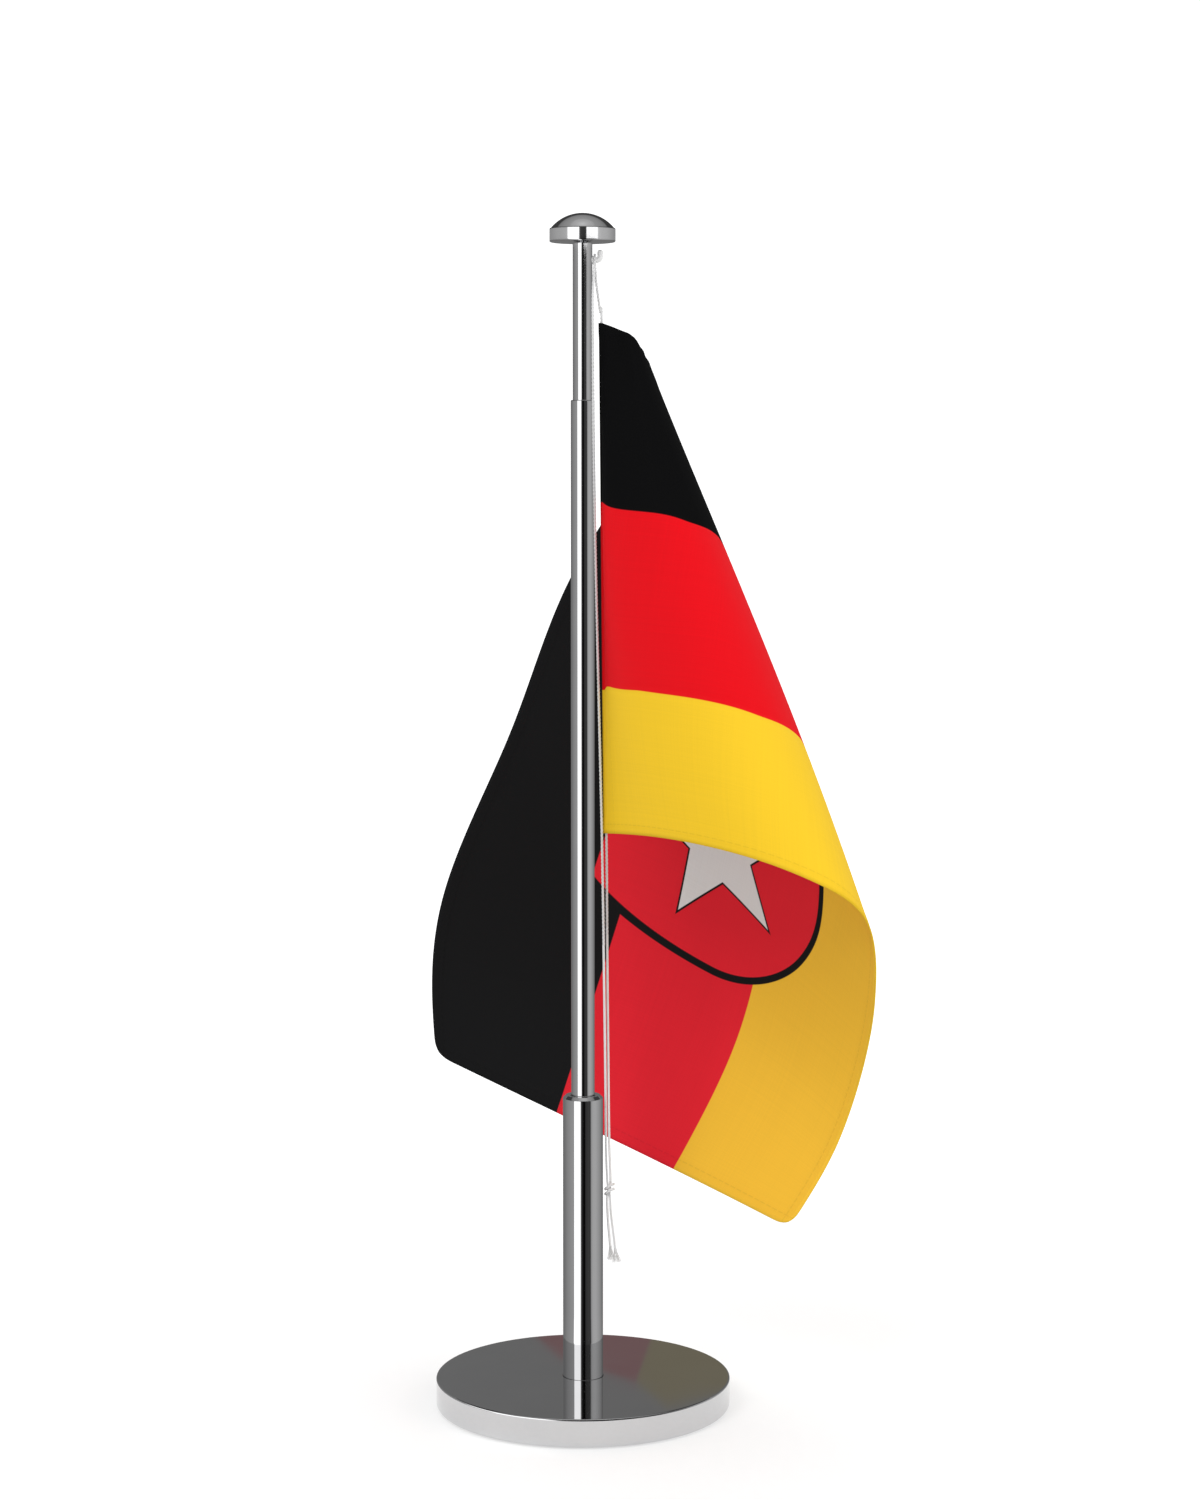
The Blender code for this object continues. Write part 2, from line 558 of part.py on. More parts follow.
def flag_cloth(parent):
    """The hanging cloth, a grid laid through three guide lines and given a thickness."""
    top = cloth_line(0.0, TOP_HEM_LINE)
    middle = cloth_line(0.5, MIDDLE_LINE)
    bottom = cloth_line(1.0, BOTTOM_HEM_LINE)
    steps = len(top) - 1
    bm = bmesh.new()
    bmesh.ops.create_grid(bm, x_segments=steps, y_segments=CLOTH_ROWS, size=0.5)
    for vert in bm.verts:
        along = round((vert.co.x + 0.5) * steps)
        down = 0.5 - vert.co.y
        weights = (2.0 * (down - 0.5) * (down - 1.0), 4.0 * down * (1.0 - down),
                   2.0 * down * (down - 0.5))
        vert.co = weights[0] * top[along] + weights[1] * middle[along] + weights[2] * bottom[along]
    obj = add_object("flag_cloth", finish_mesh(bm, "flag_cloth"), CLOTH, parent, HOIST_TOP)
    solidify = obj.modifiers.new("cloth_thickness", "SOLIDIFY")
    solidify.thickness = CLOTH_THICKNESS
    solidify.offset = 0.0
    return obj


def halyard_knot(parent):
    bm = bmesh.new()
    bmesh.ops.create_uvsphere(bm, u_segments=16, v_segments=12, radius=1.0)
    bmesh.ops.scale(bm, verts=bm.verts, vec=[half * MM for half in KNOT_HALF_SIZE])
    bmesh.ops.translate(bm, verts=bm.verts, vec=[centre * MM for centre in KNOT_CENTRE])
    return add_object("halyard_knot", finish_mesh(bm, "halyard_knot"), CORD, parent, HOOK_Z)


def build():
    clear_scene()
    base_disc()
    felt_pad()
    base_screw()
    base_washer()
    column_foot_plug()
    lower_column()
    guide_bush()

    middle_slide = add_axis("middle_slide_axis", MIDDLE_SLEEVE_BOTTOM)
    mast_foot_sleeve(middle_slide)
    middle_turn = add_axis("middle_turn_axis", MIDDLE_SLEEVE_BOTTOM, middle_slide)
    mast_foot_spindle(middle_turn)
    middle_tube(middle_turn)

    top_slide = add_axis("top_slide_axis", TOP_SLEEVE_BOTTOM, middle_turn)
    top_friction_sleeve(top_slide)
    top_turn = add_axis("top_turn_axis", TOP_SLEEVE_BOTTOM, top_slide)
    top_spindle(top_turn)
    top_tube(top_turn)
    cap_insert(top_turn)
    cap_stud(top_turn)
    finial_cap(top_turn)
    halyard_hook(top_turn)
    hoist_hem(top_turn)
    flag_cloth(top_turn)
    cord_tube("halyard_free_strand", FREE_STRAND_ROUTE, CORD, top_turn)
    cord_tube("halyard_hem_strand", HEM_STRAND_ROUTE, CORD, top_turn)
    halyard_knot(top_turn)
    cord_tube("halyard_long_tail", LONG_TAIL_ROUTE, CORD, top_turn)
    cord_tube("halyard_short_tail", SHORT_TAIL_ROUTE, CORD, top_turn)


build()
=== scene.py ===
"""Desk flag stand: the looks of a chrome stand with its halyard and hanging flag.

The packed model gives the frame. This script makes finer visible pieces round it, paints
every piece, and sets up a plain studio.
"""
# %% [markdown]
# # A desk flag stand, step by step
#
# The real stand is a heavy chrome disc with a column screwed to it, two thinner tubes that
# slide out of the column, a mushroom cap, and a small hook that a cord hangs on. A cloth flag
# is threaded on the cord and folds once round to the back.
#
# The packed model already holds every sub-part at its true size, and it never moves. Here
# each visible part gets a finer surface and a finish. Everything is in metres. The mast
# stands on the Z axis and the viewer looks along +Y.

# %% Load the frame
import math
import random

import bmesh
import bpy
import numpy as np
from mathutils import Matrix, Vector


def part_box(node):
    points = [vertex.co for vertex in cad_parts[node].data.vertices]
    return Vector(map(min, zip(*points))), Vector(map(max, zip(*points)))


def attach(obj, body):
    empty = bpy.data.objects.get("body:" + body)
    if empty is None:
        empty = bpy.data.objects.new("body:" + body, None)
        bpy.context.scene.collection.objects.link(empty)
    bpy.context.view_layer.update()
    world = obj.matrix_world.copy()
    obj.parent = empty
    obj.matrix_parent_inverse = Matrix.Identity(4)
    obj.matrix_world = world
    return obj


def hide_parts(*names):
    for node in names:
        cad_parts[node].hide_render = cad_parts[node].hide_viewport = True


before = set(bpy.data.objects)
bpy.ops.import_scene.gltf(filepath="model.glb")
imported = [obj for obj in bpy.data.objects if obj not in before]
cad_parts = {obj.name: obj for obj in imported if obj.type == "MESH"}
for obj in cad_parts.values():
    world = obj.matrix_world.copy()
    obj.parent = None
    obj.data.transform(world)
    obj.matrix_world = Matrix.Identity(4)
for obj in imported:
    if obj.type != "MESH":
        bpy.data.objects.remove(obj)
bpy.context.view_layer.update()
MM = 0.001

# %% [markdown]
# ## The camera
#
# The camera comes first, because the cords are judged against its view. It stands a little
# under a metre away, a bit above the middle of the mast, and looks slightly down, so the top
# of the base shows as a flat ellipse. A long lens keeps the mast's lines parallel. Depth of
# field stays off, so everything is sharp.

# %% Camera
CAMERA_DISTANCE = 908.4 * MM
CAMERA_HEIGHT = 280.3 * MM
CAMERA_SIDE = 5.1 * MM
CAMERA_DIP = 5.17  # degrees below the horizon
LENS_LENGTH = 49.32  # in millimetres, on a sensor 24 mm high


def add_object(name, data):
    """Show some data, such as a mesh or a light, as an object at the origin."""
    made = bpy.data.objects.new(name, data)
    bpy.context.scene.collection.objects.link(made)
    return made


camera_data = bpy.data.cameras.new("studio_camera")
camera_data.sensor_fit = "VERTICAL"
camera_data.sensor_height = 24.0
camera_data.lens = LENS_LENGTH
camera = add_object("studio_camera", camera_data)
camera.location = (CAMERA_SIDE, -CAMERA_DISTANCE, CAMERA_HEIGHT)
camera.rotation_euler = (math.radians(90.0 - CAMERA_DIP), 0.0, 0.0)
bpy.context.scene.camera = camera
print("camera at", tuple(round(value, 4) for value in camera.location))

# %% [markdown]
# ## Sizes from the frame
#
# No size is typed twice. The radius and the height of each turned part are read from the
# packed nodes, so the new surfaces sit exactly where the solid ones are. The hook's height
# follows from the cap's underside, as it does in the solid model.

# %% Sizes
base_low, base_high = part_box("base_disc")
column_low, column_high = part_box("lower_column")
middle_low, middle_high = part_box("middle_tube")
top_low, top_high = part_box("top_tube")
cap_low, cap_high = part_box("finial_cap")
pad_low, pad_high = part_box("felt_pad")

HOOK_DROP = 5.2 * MM  # from the cap's underside down to the hook's shank
HOIST_DROP = 18.2 * MM  # from the shank down to the top of the hoist
HOIST_HEIGHT = 150.0 * MM
FLY_LENGTH = 250.0 * MM
shank_height = cap_low.z - HOOK_DROP
hoist_top = shank_height - HOIST_DROP
print("base radius", round(base_high.x / MM, 2), "mm, mast height", round(cap_high.z / MM, 1), "mm")
print("hoist from", round(hoist_top / MM, 1), "down to", round((hoist_top - HOIST_HEIGHT) / MM, 1))


# %% [markdown]
# ## Smooth lines through given points
#
# A cord or a fold of cloth is described by a few points that its line passes through. A
# natural cubic spline is the curve that a thin springy batten takes through those points, so
# it has no kinks. One small linear system gives the bend at every point.

# %% Splines
def bend_at_points(points):
    """Second derivatives of the natural cubic spline through evenly numbered points."""
    count = len(points)
    matrix = np.eye(count)
    right = np.zeros_like(points)
    for i in range(1, count - 1):
        matrix[i, i - 1:i + 2] = (1.0, 4.0, 1.0)
        right[i] = 6.0 * (points[i - 1] - 2.0 * points[i] + points[i + 1])
    return np.linalg.solve(matrix, right)


def on_spline(points, place):
    """Positions on the spline; place counts points, so 1.5 is halfway from 1 to 2."""
    points = np.asarray(points, dtype=float)
    bend = bend_at_points(points)
    place = np.asarray(place, dtype=float)
    left = np.clip(place.astype(int), 0, len(points) - 2)
    t = (place - left)[..., None]
    s = 1.0 - t
    return (s * points[left] + t * points[left + 1]
            + ((s ** 3 - s) * bend[left] + (t ** 3 - t) * bend[left + 1]) / 6.0)


def even_path(points, step):
    """Points a fixed step apart along the spline."""
    fine = on_spline(points, np.linspace(0.0, len(points) - 1, 60 * len(points)))
    travel = np.concatenate([[0.0], np.cumsum(np.linalg.norm(np.diff(fine, axis=0), axis=1))])
    wanted = np.linspace(0.0, travel[-1], max(2, round(travel[-1] / step) + 1))
    return np.stack([np.interp(wanted, travel, fine[:, axis]) for axis in range(3)], axis=1)


print("a straight test line stays straight:", on_spline([(0, 0, 0), (0, 0, 2), (0, 0, 4)], [0.5])[0])

# %% [markdown]
# ## The halyard
#
# The halyard is one thin white cord. Its middle lies over the hook. One half runs free beside
# the hoist, the other half runs inside the flag's sleeve, and both meet in a knot below the
# flag. After the knot, two short tails hang with frayed ends. The cord is limp, so it bends
# closely over the hook and hangs straight down from there.
#
# The halves are made as two cords that share one smooth line over the hook. The heights in
# the routes are from the hook's shank, in millimetres, as in the solid model.

# %% Halyard routes
CORD_RADIUS = 0.4 * MM
CORD_STEP = 0.2 * MM
FREE_STRAND_ROUTE = (
    (3.60, -0.15, 1.5), (3.60, -0.95, 1.1), (3.60, -1.40, 0.0), (3.45, -1.75, -2.6),
    (3.15, -2.15, -7.1), (3.00, -2.60, -13.1), (3.05, -2.75, -23.1), (3.10, -2.90, -37.1),
    (3.30, -2.70, -56.1), (3.90, -2.20, -91.1), (4.80, -1.80, -131.1), (5.60, -1.50, -166.1),
    (6.20, -1.40, -201.1), (6.60, -1.00, -229.1), (6.85, -0.35, -251.1), (6.95, -0.05, -263.1),
    (7.35, 0.00, -272.9),
)
HEM_STRAND_ROUTE = (
    (3.60, 0.15, 1.5), (3.60, 0.95, 1.1), (3.60, 1.40, 0.0), (3.75, 1.30, -2.6),
    (4.10, 0.60, -7.1), (4.70, 0.15, -11.6), (5.35, 0.00, -15.1), (5.60, 0.00, -17.7),
    (5.95, 0.00, -55.1), (6.30, 0.00, -92.7), (6.65, 0.00, -130.1), (7.00, 0.00, -167.7),
    (7.12, 0.00, -181.1), (7.30, 0.10, -211.1), (7.60, 0.10, -241.1), (7.85, 0.00, -261.1),
    (8.25, 0.00, -272.9),
)
LONG_TAIL_ROUTE = (
    (8.15, 0.10, -278.2), (8.35, 0.20, -282.1), (8.90, 0.20, -287.1), (9.60, 0.00, -293.1),
    (9.95, -0.10, -298.3),
)
SHORT_TAIL_ROUTE = (
    (7.30, -0.10, -278.2), (7.35, -0.30, -282.1), (7.65, -0.40, -287.1), (8.15, -0.50, -292.6),
    (8.45, -0.50, -297.5),
)
KNOT_CENTRE = (7.8, 0.0, -275.6)
IN_KNOT_FREE = (7.75, -0.5, -275.6)  # where each strand passes through the knot
IN_KNOT_HEM = (7.8, 0.5, -275.6)
BRUSH_LENGTH = 4.6 * MM  # frayed part at the end of each tail


def from_shank(route):
    """A route in millimetres below the shank, turned into metres in the frame."""
    return np.array(route) * MM + (0.0, 0.0, shank_height)


hem_half = from_shank(HEM_STRAND_ROUTE + (IN_KNOT_HEM,) + SHORT_TAIL_ROUTE)
free_half = from_shank(FREE_STRAND_ROUTE + (IN_KNOT_FREE,) + LONG_TAIL_ROUTE)
whole_line = even_path(np.concatenate([hem_half[::-1], free_half]), CORD_STEP)
middle = int(np.argmax(whole_line[:, 2]))
brush_steps = round(BRUSH_LENGTH / CORD_STEP)
hem_cord_line = whole_line[brush_steps:middle + 1][::-1]
free_cord_line = whole_line[middle:len(whole_line) - brush_steps]


def line_length(line):
    return float(np.linalg.norm(np.diff(line, axis=0), axis=1).sum())


for title, line in (("free half", free_cord_line), ("hem half", hem_cord_line)):
    print(title, round(line_length(line), 4), "m")

# %% [markdown]
# ## A twisted cord
#
# Seen close, the cord is three plies laid round each other. A curve with a three-lobed
# section that turns steadily along its length gives the plies as real geometry. Blender's
# curve does that with a bevel object and the tilt of each point. The curve is then turned
# into a mesh, so the little section curve can go.

# %% Twisted cord
LAY_LENGTH = 3.4 * MM  # one full turn of the plies
SECTION_SIDES = 18


def new_curve(name):
    """An empty curve with closed ends, on an object of its own."""
    data = bpy.data.curves.new(name, "CURVE")
    data.dimensions = "3D"
    data.use_fill_caps = True
    return add_object(name, data)


def poly_line(curve, line, radii=None, tilts=None):
    """Add one open run of straight segments to a curve."""
    run = curve.data.splines.new("POLY")
    run.points.add(len(line) - 1)
    for index, place in enumerate(line):
        run.points[index].co = (*place, 1.0)
        run.points[index].radius = 1.0 if radii is None else radii[index]
        run.points[index].tilt = 0.0 if tilts is None else tilts[index]


def as_mesh(curve):
    """Put a smooth mesh piece of the same name in the place of a curve."""
    name = curve.name
    mesh = bpy.data.meshes.new_from_object(curve.evaluated_get(bpy.context.evaluated_depsgraph_get()))
    bpy.data.objects.remove(curve, do_unlink=True)
    mesh.name = name
    mesh.shade_smooth()
    return add_object(name, mesh)


def ply_section(radius):
    """A closed three-lobed outline: three touching plies, seen end on."""
    ply = radius / (1.0 + 2.0 / math.sqrt(3.0))
    reach = radius - ply
    third = math.tau / 3.0
    outline = []
    for i in range(SECTION_SIDES):
        angle = math.tau * i / SECTION_SIDES
        off = angle - third * round(angle / third)
        far = reach * math.cos(off) + math.sqrt(max(0.0, ply ** 2 - (reach * math.sin(off)) ** 2))
        outline.append((far * math.cos(angle), far * math.sin(angle), 0.0))
    section = new_curve("ply_section")
    poly_line(section, outline)
    section.data.splines[0].use_cyclic_u = True
    return section


def twisted_cord(name, lines):
    """A cord of three plies along each of some lines, as one mesh."""
    section = ply_section(CORD_RADIUS)
    cord = new_curve(name)
    cord.data.bevel_mode = "OBJECT"
    cord.data.bevel_object = section
    for line in lines:
        twist = math.tau * line_length(line) / (len(line) - 1) / LAY_LENGTH
        poly_line(cord, line, tilts=[twist * i for i in range(len(line))])
    piece = as_mesh(cord)
    bpy.data.objects.remove(section, do_unlink=True)
    return piece


free_cord = twisted_cord("halyard_free_cord", [free_cord_line])
hem_cord = twisted_cord("halyard_hem_cord", [hem_cord_line])
print("cord faces:", len(free_cord.data.polygons), "and", len(hem_cord.data.polygons))

# %% [markdown]
# ## The knot and the frayed ends
#
# Both halves are tied together in one overhand knot. What shows is the pair of cords wound
# about one and a half times round itself, on a slant, with a lobe that stands out to the
# right. Each tail ends like a small brush, because the cut plies have come undone: a few
# dozen single fibres fan out and stop at one cut.

# %% Knot
KNOT_TURNS = 1.35
KNOT_STEPS = 14


def knot_turn(offset_height, start_angle):
    """One cord's way round the knot, which starts and ends inside it."""
    points = []
    for i in range(KNOT_STEPS + 1):
        share = i / KNOT_STEPS
        angle = start_angle + math.tau * KNOT_TURNS * share
        tuck = min(1.0, 3.5 * min(share, 1.0 - share) + 0.25)
        lobe = 1.0 + 0.25 * max(0.0, math.cos(angle))
        slant = 0.75 * math.cos(angle + 0.6)
        points.append((1.12 * tuck * lobe * math.cos(angle), tuck * math.sin(angle),
                       offset_height + slant + 0.9 * (share - 0.5)))
    return np.array(KNOT_CENTRE) + points


knot_lines = [even_path(from_shank(knot_turn(height, start)), 0.15 * MM)
              for height, start in ((0.75, 0.4), (-0.7, 0.9))]
knot = twisted_cord("halyard_knot_turns", knot_lines)
print("knot faces:", len(knot.data.polygons))


# %% Frayed ends
FIBRES = 46
FIBRE_RADIUS = 0.045 * MM
FIBRE_STEPS = 6


def frayed_end(name, line, seed):
    """Single fibres that leave the end of a cord and fan out like a brush."""
    draw = random.Random(seed)
    brush = new_curve(name)
    brush.data.bevel_depth = FIBRE_RADIUS
    brush.data.bevel_resolution = 1
    end = line[-1]
    along = end - line[-8]
    along /= np.linalg.norm(along)
    side = np.cross(along, (0.0, 1.0, 0.0))
    side /= np.linalg.norm(side)
    deep = np.cross(along, side)
    shares = [i / FIBRE_STEPS for i in range(FIBRE_STEPS + 1)]
    for _ in range(FIBRES):
        angle = draw.uniform(0.0, math.tau)
        ring = math.sqrt(draw.random())
        across = side * math.cos(angle) + deep * 0.7 * math.sin(angle)
        reach = BRUSH_LENGTH * draw.uniform(0.93, 1.0)
        fan = 1.25 * MM * ring * draw.uniform(0.75, 1.1)
        wave = draw.uniform(-0.12, 0.12) * MM
        fibre = []
        for share in shares:
            out = CORD_RADIUS * 0.8 * ring + fan * share ** 1.6
            wobble = wave * math.sin(3.0 * math.pi * share)
            fibre.append(end + along * (reach * share - 0.3 * MM) + across * out + side * wobble)
        poly_line(brush, fibre, radii=[1.0 - 0.35 * share for share in shares])
    return as_mesh(brush)


long_brush = frayed_end("halyard_long_end", free_cord_line, seed=4)
short_brush = frayed_end("halyard_short_end", hem_cord_line, seed=9)
print("fibre faces:", len(long_brush.data.polygons), "each")

# %% [markdown]
# ## The halyard joins the frame
#
# Each new piece rides on a body of the packed model, so it moves when that body does, and it
# stands for the plain nodes that it covers. The cord turns with the top tube, since it hangs
# on the hook.

# %% Halyard in the frame
def stands_for(piece, body, slot, *nodes):
    """Ride on a body and stand for some plain nodes, which are hidden; the slot is not used."""
    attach(piece, body)
    if nodes:
        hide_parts(*nodes)


stands_for(free_cord, "top_mast", "cord", "halyard_free_strand", "halyard_long_tail")
stands_for(hem_cord, "top_mast", "cord", "halyard_hem_strand", "halyard_short_tail")
stands_for(knot, "top_mast", "cord", "halyard_knot")
stands_for(long_brush, "top_mast", "cord")
stands_for(short_brush, "top_mast", "cord")
for cord, line, ends in ((free_cord, free_cord_line, [knot, long_brush]),
                         (hem_cord, hem_cord_line, [short_brush])):
    print(cord.name, "leaves the hook at", np.round(line[0], 4))

# %% [markdown]
# ## How the cloth hangs
#
# A flag on a short staff does not hang flat. Its own weight pulls the fly down, so the front
# of the cloth swells towards the viewer, folds over at the right, and the rest hangs behind
# the mast with its lower edge lifted to the left.
#
# Three guide lines say where the top hem, the middle and the bottom hem of the cloth run, all
# from the hoist to the fly. The same nine stations lie on all three, and for each station the
# distance along the flat cloth is known for the top and the bottom hem. So every point of the
# flat cloth has a place in the air.

# %% Guide lines of the cloth
# The cloth is worked out in millimetres, with heights from the top of the hoist.
FLY = FLY_LENGTH / MM
HOIST = HOIST_HEIGHT / MM
SLEEVE_RADIUS = 0.78  # the cloth's own radius round the cord
HEM_TOP_X = 5.6
HEM_BOTTOM_X = 7.0
FRONT = -SLEEVE_RADIUS
TOP_HEM_LINE = (
    (HEM_TOP_X, FRONT, 0.0), (9.4, -2.2, -1.4), (12.4, -5.2, -2.8), (16.4, -6.2, -7.0),
    (20.9, 14.4, -30.7), (-3.0, 29.9, -73.4), (-23.0, 44.7, -124.0), (-45.2, 53.2, -177.6),
    (-47.5, 72.1, -230.4),
)
MIDDLE_LINE = (
    (0.5 * (HEM_TOP_X + HEM_BOTTOM_X), FRONT, -75.0), (9.2, -15.5, -79.2), (24.4, -27.9, -80.6),
    (43.1, -27.3, -85.8), (55.7, -7.8, -103.0), (46.0, 11.7, -132.8), (38.1, 32.6, -167.6),
    (28.1, 46.5, -209.1), (9.9, 43.1, -252.4),
)
BOTTOM_HEM_LINE = (
    (HEM_BOTTOM_X, FRONT, -150.0), (23.7, -30.1, -147.6), (50.1, -50.5, -151.4),
    (74.1, -50.5, -162.6), (83.5, -32.9, -177.7), (85.5, -17.3, -196.0), (84.5, -0.2, -216.6),
    (76.7, 7.3, -244.9), (61.7, -3.6, -267.9),
)
ALONG_TOP = (0.0, 4.0, 8.5, 16.0, 50.0, 95.0, 145.0, 197.0, 250.0)
ALONG_BOTTOM = (0.0, 34.0, 68.0, 98.0, 124.0, 150.0, 180.0, 214.0, 250.0)
ALONG_STEPS = 100
DOWN_STEPS = 60


def hanging_place(along, down):
    """Where the guide lines put points of the flat cloth; down runs from 0 to 1."""
    stations = np.linspace(0.0, 8.0, 801)
    top = np.interp(stations, range(9), ALONG_TOP)
    bottom = np.interp(stations, range(9), ALONG_BOTTOM)
    places = np.empty(along.shape + (3,))
    for column in range(along.shape[1]):
        share = down[0, column]
        reach = (1.0 - share) * top + share * bottom
        station = np.interp(along[:, column], reach, stations)
        upper, centre, lower = (on_spline(line, station)
                                for line in (TOP_HEM_LINE, MIDDLE_LINE, BOTTOM_HEM_LINE))
        places[:, column] = (2.0 * (share - 0.5) * (share - 1.0) * upper
                             + 4.0 * share * (1.0 - share) * centre
                             + 2.0 * share * (share - 0.5) * lower)
    return places


flat_along, flat_down = np.meshgrid(np.linspace(0.0, FLY, ALONG_STEPS + 1),
                                    np.linspace(0.0, 1.0, DOWN_STEPS + 1), indexing="ij")
guide_shape = hanging_place(flat_along, flat_down)
print("lowest point of the cloth", round(float(guide_shape[..., 2].min()), 1), "mm under the hoist's top")

# %% [markdown]
# ## Cloth does not stretch
#
# The guide lines give the shape only roughly, so parts of that surface are a few percent too
# long or too short. Real weave keeps its length. The grid is therefore relaxed: each thread
# between two neighbouring points is pulled back to its true length, many times over, while a
# weak pull keeps the whole cloth near the guide shape. This is what a cloth solver does, with
# the result known in advance, and it runs in a second.

# %% Relax the cloth
ROUNDS = 150
HOLD = 0.10  # pull back to the guide shape, per round
STIFFNESS = 0.06  # smoothing per round, as of a cloth that resists bends
HASTE = 1.6  # how boldly each round pulls the threads
SLANT_PULL = 0.35  # a slanting or double step pulls less than a thread
FOLD_GUARD = 0.15  # a double step only keeps the cloth from folding flat
WHOLE, NEXT, LAST, SECOND, BUT_TWO = (
    slice(None), slice(1, None), slice(None, -1), slice(2, None), slice(None, -2))
# Pairs of grid points that a thread joins, with their steps along and down.
THREADS = (
    ((NEXT, WHOLE), (LAST, WHOLE), 1, 0), ((WHOLE, NEXT), (WHOLE, LAST), 0, 1),
    ((NEXT, NEXT), (LAST, LAST), 1, 1), ((NEXT, LAST), (LAST, NEXT), 1, 1),
    ((SECOND, WHOLE), (BUT_TWO, WHOLE), 2, 0), ((WHOLE, SECOND), (WHOLE, BUT_TWO), 0, 2),
)


def relax(start):
    """Pull every thread to its true length, over many rounds."""
    place = start.copy()
    for turn in range(ROUNDS):
        push = np.zeros_like(place)
        share = np.zeros(place.shape[:2] + (1,))
        for near, far, along, down in THREADS:
            rest = math.hypot(along * step_along, down * step_down)
            gap = place[near] - place[far]
            length = np.linalg.norm(gap, axis=-1, keepdims=True)
            weight = 1.0 if along + down == 1 else SLANT_PULL
            excess = length - rest
            if max(along, down) == 2:
                excess = FOLD_GUARD * np.minimum(0.0, excess)
            gap_push = weight * 0.5 * excess / length * gap
            push[near] -= gap_push
            push[far] += gap_push
            share[near] += weight
            share[far] += weight
        place += HASTE * push / share
        inner = 0.25 * (place[:-2, 1:-1] + place[2:, 1:-1] + place[1:-1, :-2] + place[1:-1, 2:])
        calm = STIFFNESS * max(0.0, 1.0 - turn / (0.9 * ROUNDS))
        place[1:-1, 1:-1] += calm * (inner - place[1:-1, 1:-1])
        place += HOLD * (start - place)
        place[0] = start[0]
    return place


def strain(place):
    """Typical stretch of the threads along and down, as a share of their length."""
    along = np.linalg.norm(np.diff(place, axis=0), axis=-1) / step_along - 1.0
    down = np.linalg.norm(np.diff(place, axis=1), axis=-1) / step_down - 1.0
    return math.sqrt(float((along ** 2).mean())), math.sqrt(float((down ** 2).mean()))


step_along = FLY / ALONG_STEPS
step_down = HOIST / DOWN_STEPS
leaf = relax(guide_shape)
print("strain before", np.round(strain(guide_shape), 3), "after", np.round(strain(leaf), 3))

# %% [markdown]
# ## The sleeve
#
# At the hoist the cloth is turned round the cord and sewn down, which makes the sleeve. The
# sleeve belongs to the same piece of cloth: a few more columns go round the cord from the
# front to the back, then lie close behind the front for the width of the seam.

# %% Sleeve
WRAP_STEPS = 8
SEAM_STEPS = 5
SEAM_WIDTH = 7.5  # cloth turned back behind the front
SEAM_LIFT = 0.50  # between the front and the turned-back strip


def sleeve_columns():
    """Columns of points from the seam's end, round the cord, up to the front of the cloth."""
    centre_x = HEM_TOP_X + (HEM_BOTTOM_X - HEM_TOP_X) * flat_down[0]
    radius = SLEEVE_RADIUS
    across = np.gradient(leaf, axis=0)
    downward = np.gradient(leaf, axis=1)
    behind = np.cross(across, downward)
    behind /= np.linalg.norm(behind, axis=-1, keepdims=True)
    behind *= np.sign(behind[:6, :, 1].mean())
    columns = []
    for along in np.linspace(SEAM_WIDTH, SEAM_WIDTH / 3.0, SEAM_STEPS):
        place = along / step_along
        first = int(place)
        mix = place - first
        point = leaf[first] * (1.0 - mix) + leaf[first + 1] * mix
        columns.append((-math.pi * radius - along, point + SEAM_LIFT * behind[first]))
    for step in range(WRAP_STEPS):
        angle = math.radians(90.0 + 180.0 * step / WRAP_STEPS)
        turn = np.stack([centre_x + radius * math.cos(angle),
                         np.full_like(centre_x, radius * math.sin(angle)), leaf[0, :, 2]], axis=1)
        columns.append((-math.pi * radius * (1.0 - step / WRAP_STEPS), turn))
    return columns


columns = sleeve_columns() + [(step_along * i, leaf[i]) for i in range(ALONG_STEPS + 1)]
print("columns of cloth:", len(columns), "rows:", DOWN_STEPS + 1)

# %% [markdown]
# ## The mesh of the flag
#
# A grid operator makes the mesh, and its points then take their places. The UV map keeps the
# flat cloth's own measure, with the sleeve's turn at the left, so stripes and threads follow
# the cloth. One subdivision rounds the folds, and a Solidify modifier gives the cloth its
# thickness, thicker at the hems where it is folded double.

# %% Measures of the flat cloth
PRINT_SPAN = 280.0  # cloth across the whole UV square
PRINT_START = 15.0  # the part of it left of the hoist
STRIPES = (0.0, 50.0, 100.0, HOIST)
FLY_CORNER = 5.0  # radius that the fly's two corners are cut to
# Where the two seams of colour run, as (along, down). Near the hoist the cloth is pulled
# askew, so they wander there; further out they run true.
BLACK_RED_SEAM = ((0.0, 52.2), (4.0, 50.0), (10.0, 49.0), (40.0, 49.6), (56.0, 46.0), (90.0, 50.0))
RED_GOLD_SEAM = ((0.0, 107.6), (4.0, 105.8), (10.0, 104.8), (30.0, 102.7), (68.0, 102.6), (88.0, 100.0))


def printed_down(along, down):
    """The height in a straight print that a point of the cloth takes its ink from."""
    upper, lower = (float(np.interp(along, *zip(*seam))) for seam in (BLACK_RED_SEAM, RED_GOLD_SEAM))
    return float(np.interp(down, (0.0, upper, lower, HOIST), STRIPES))


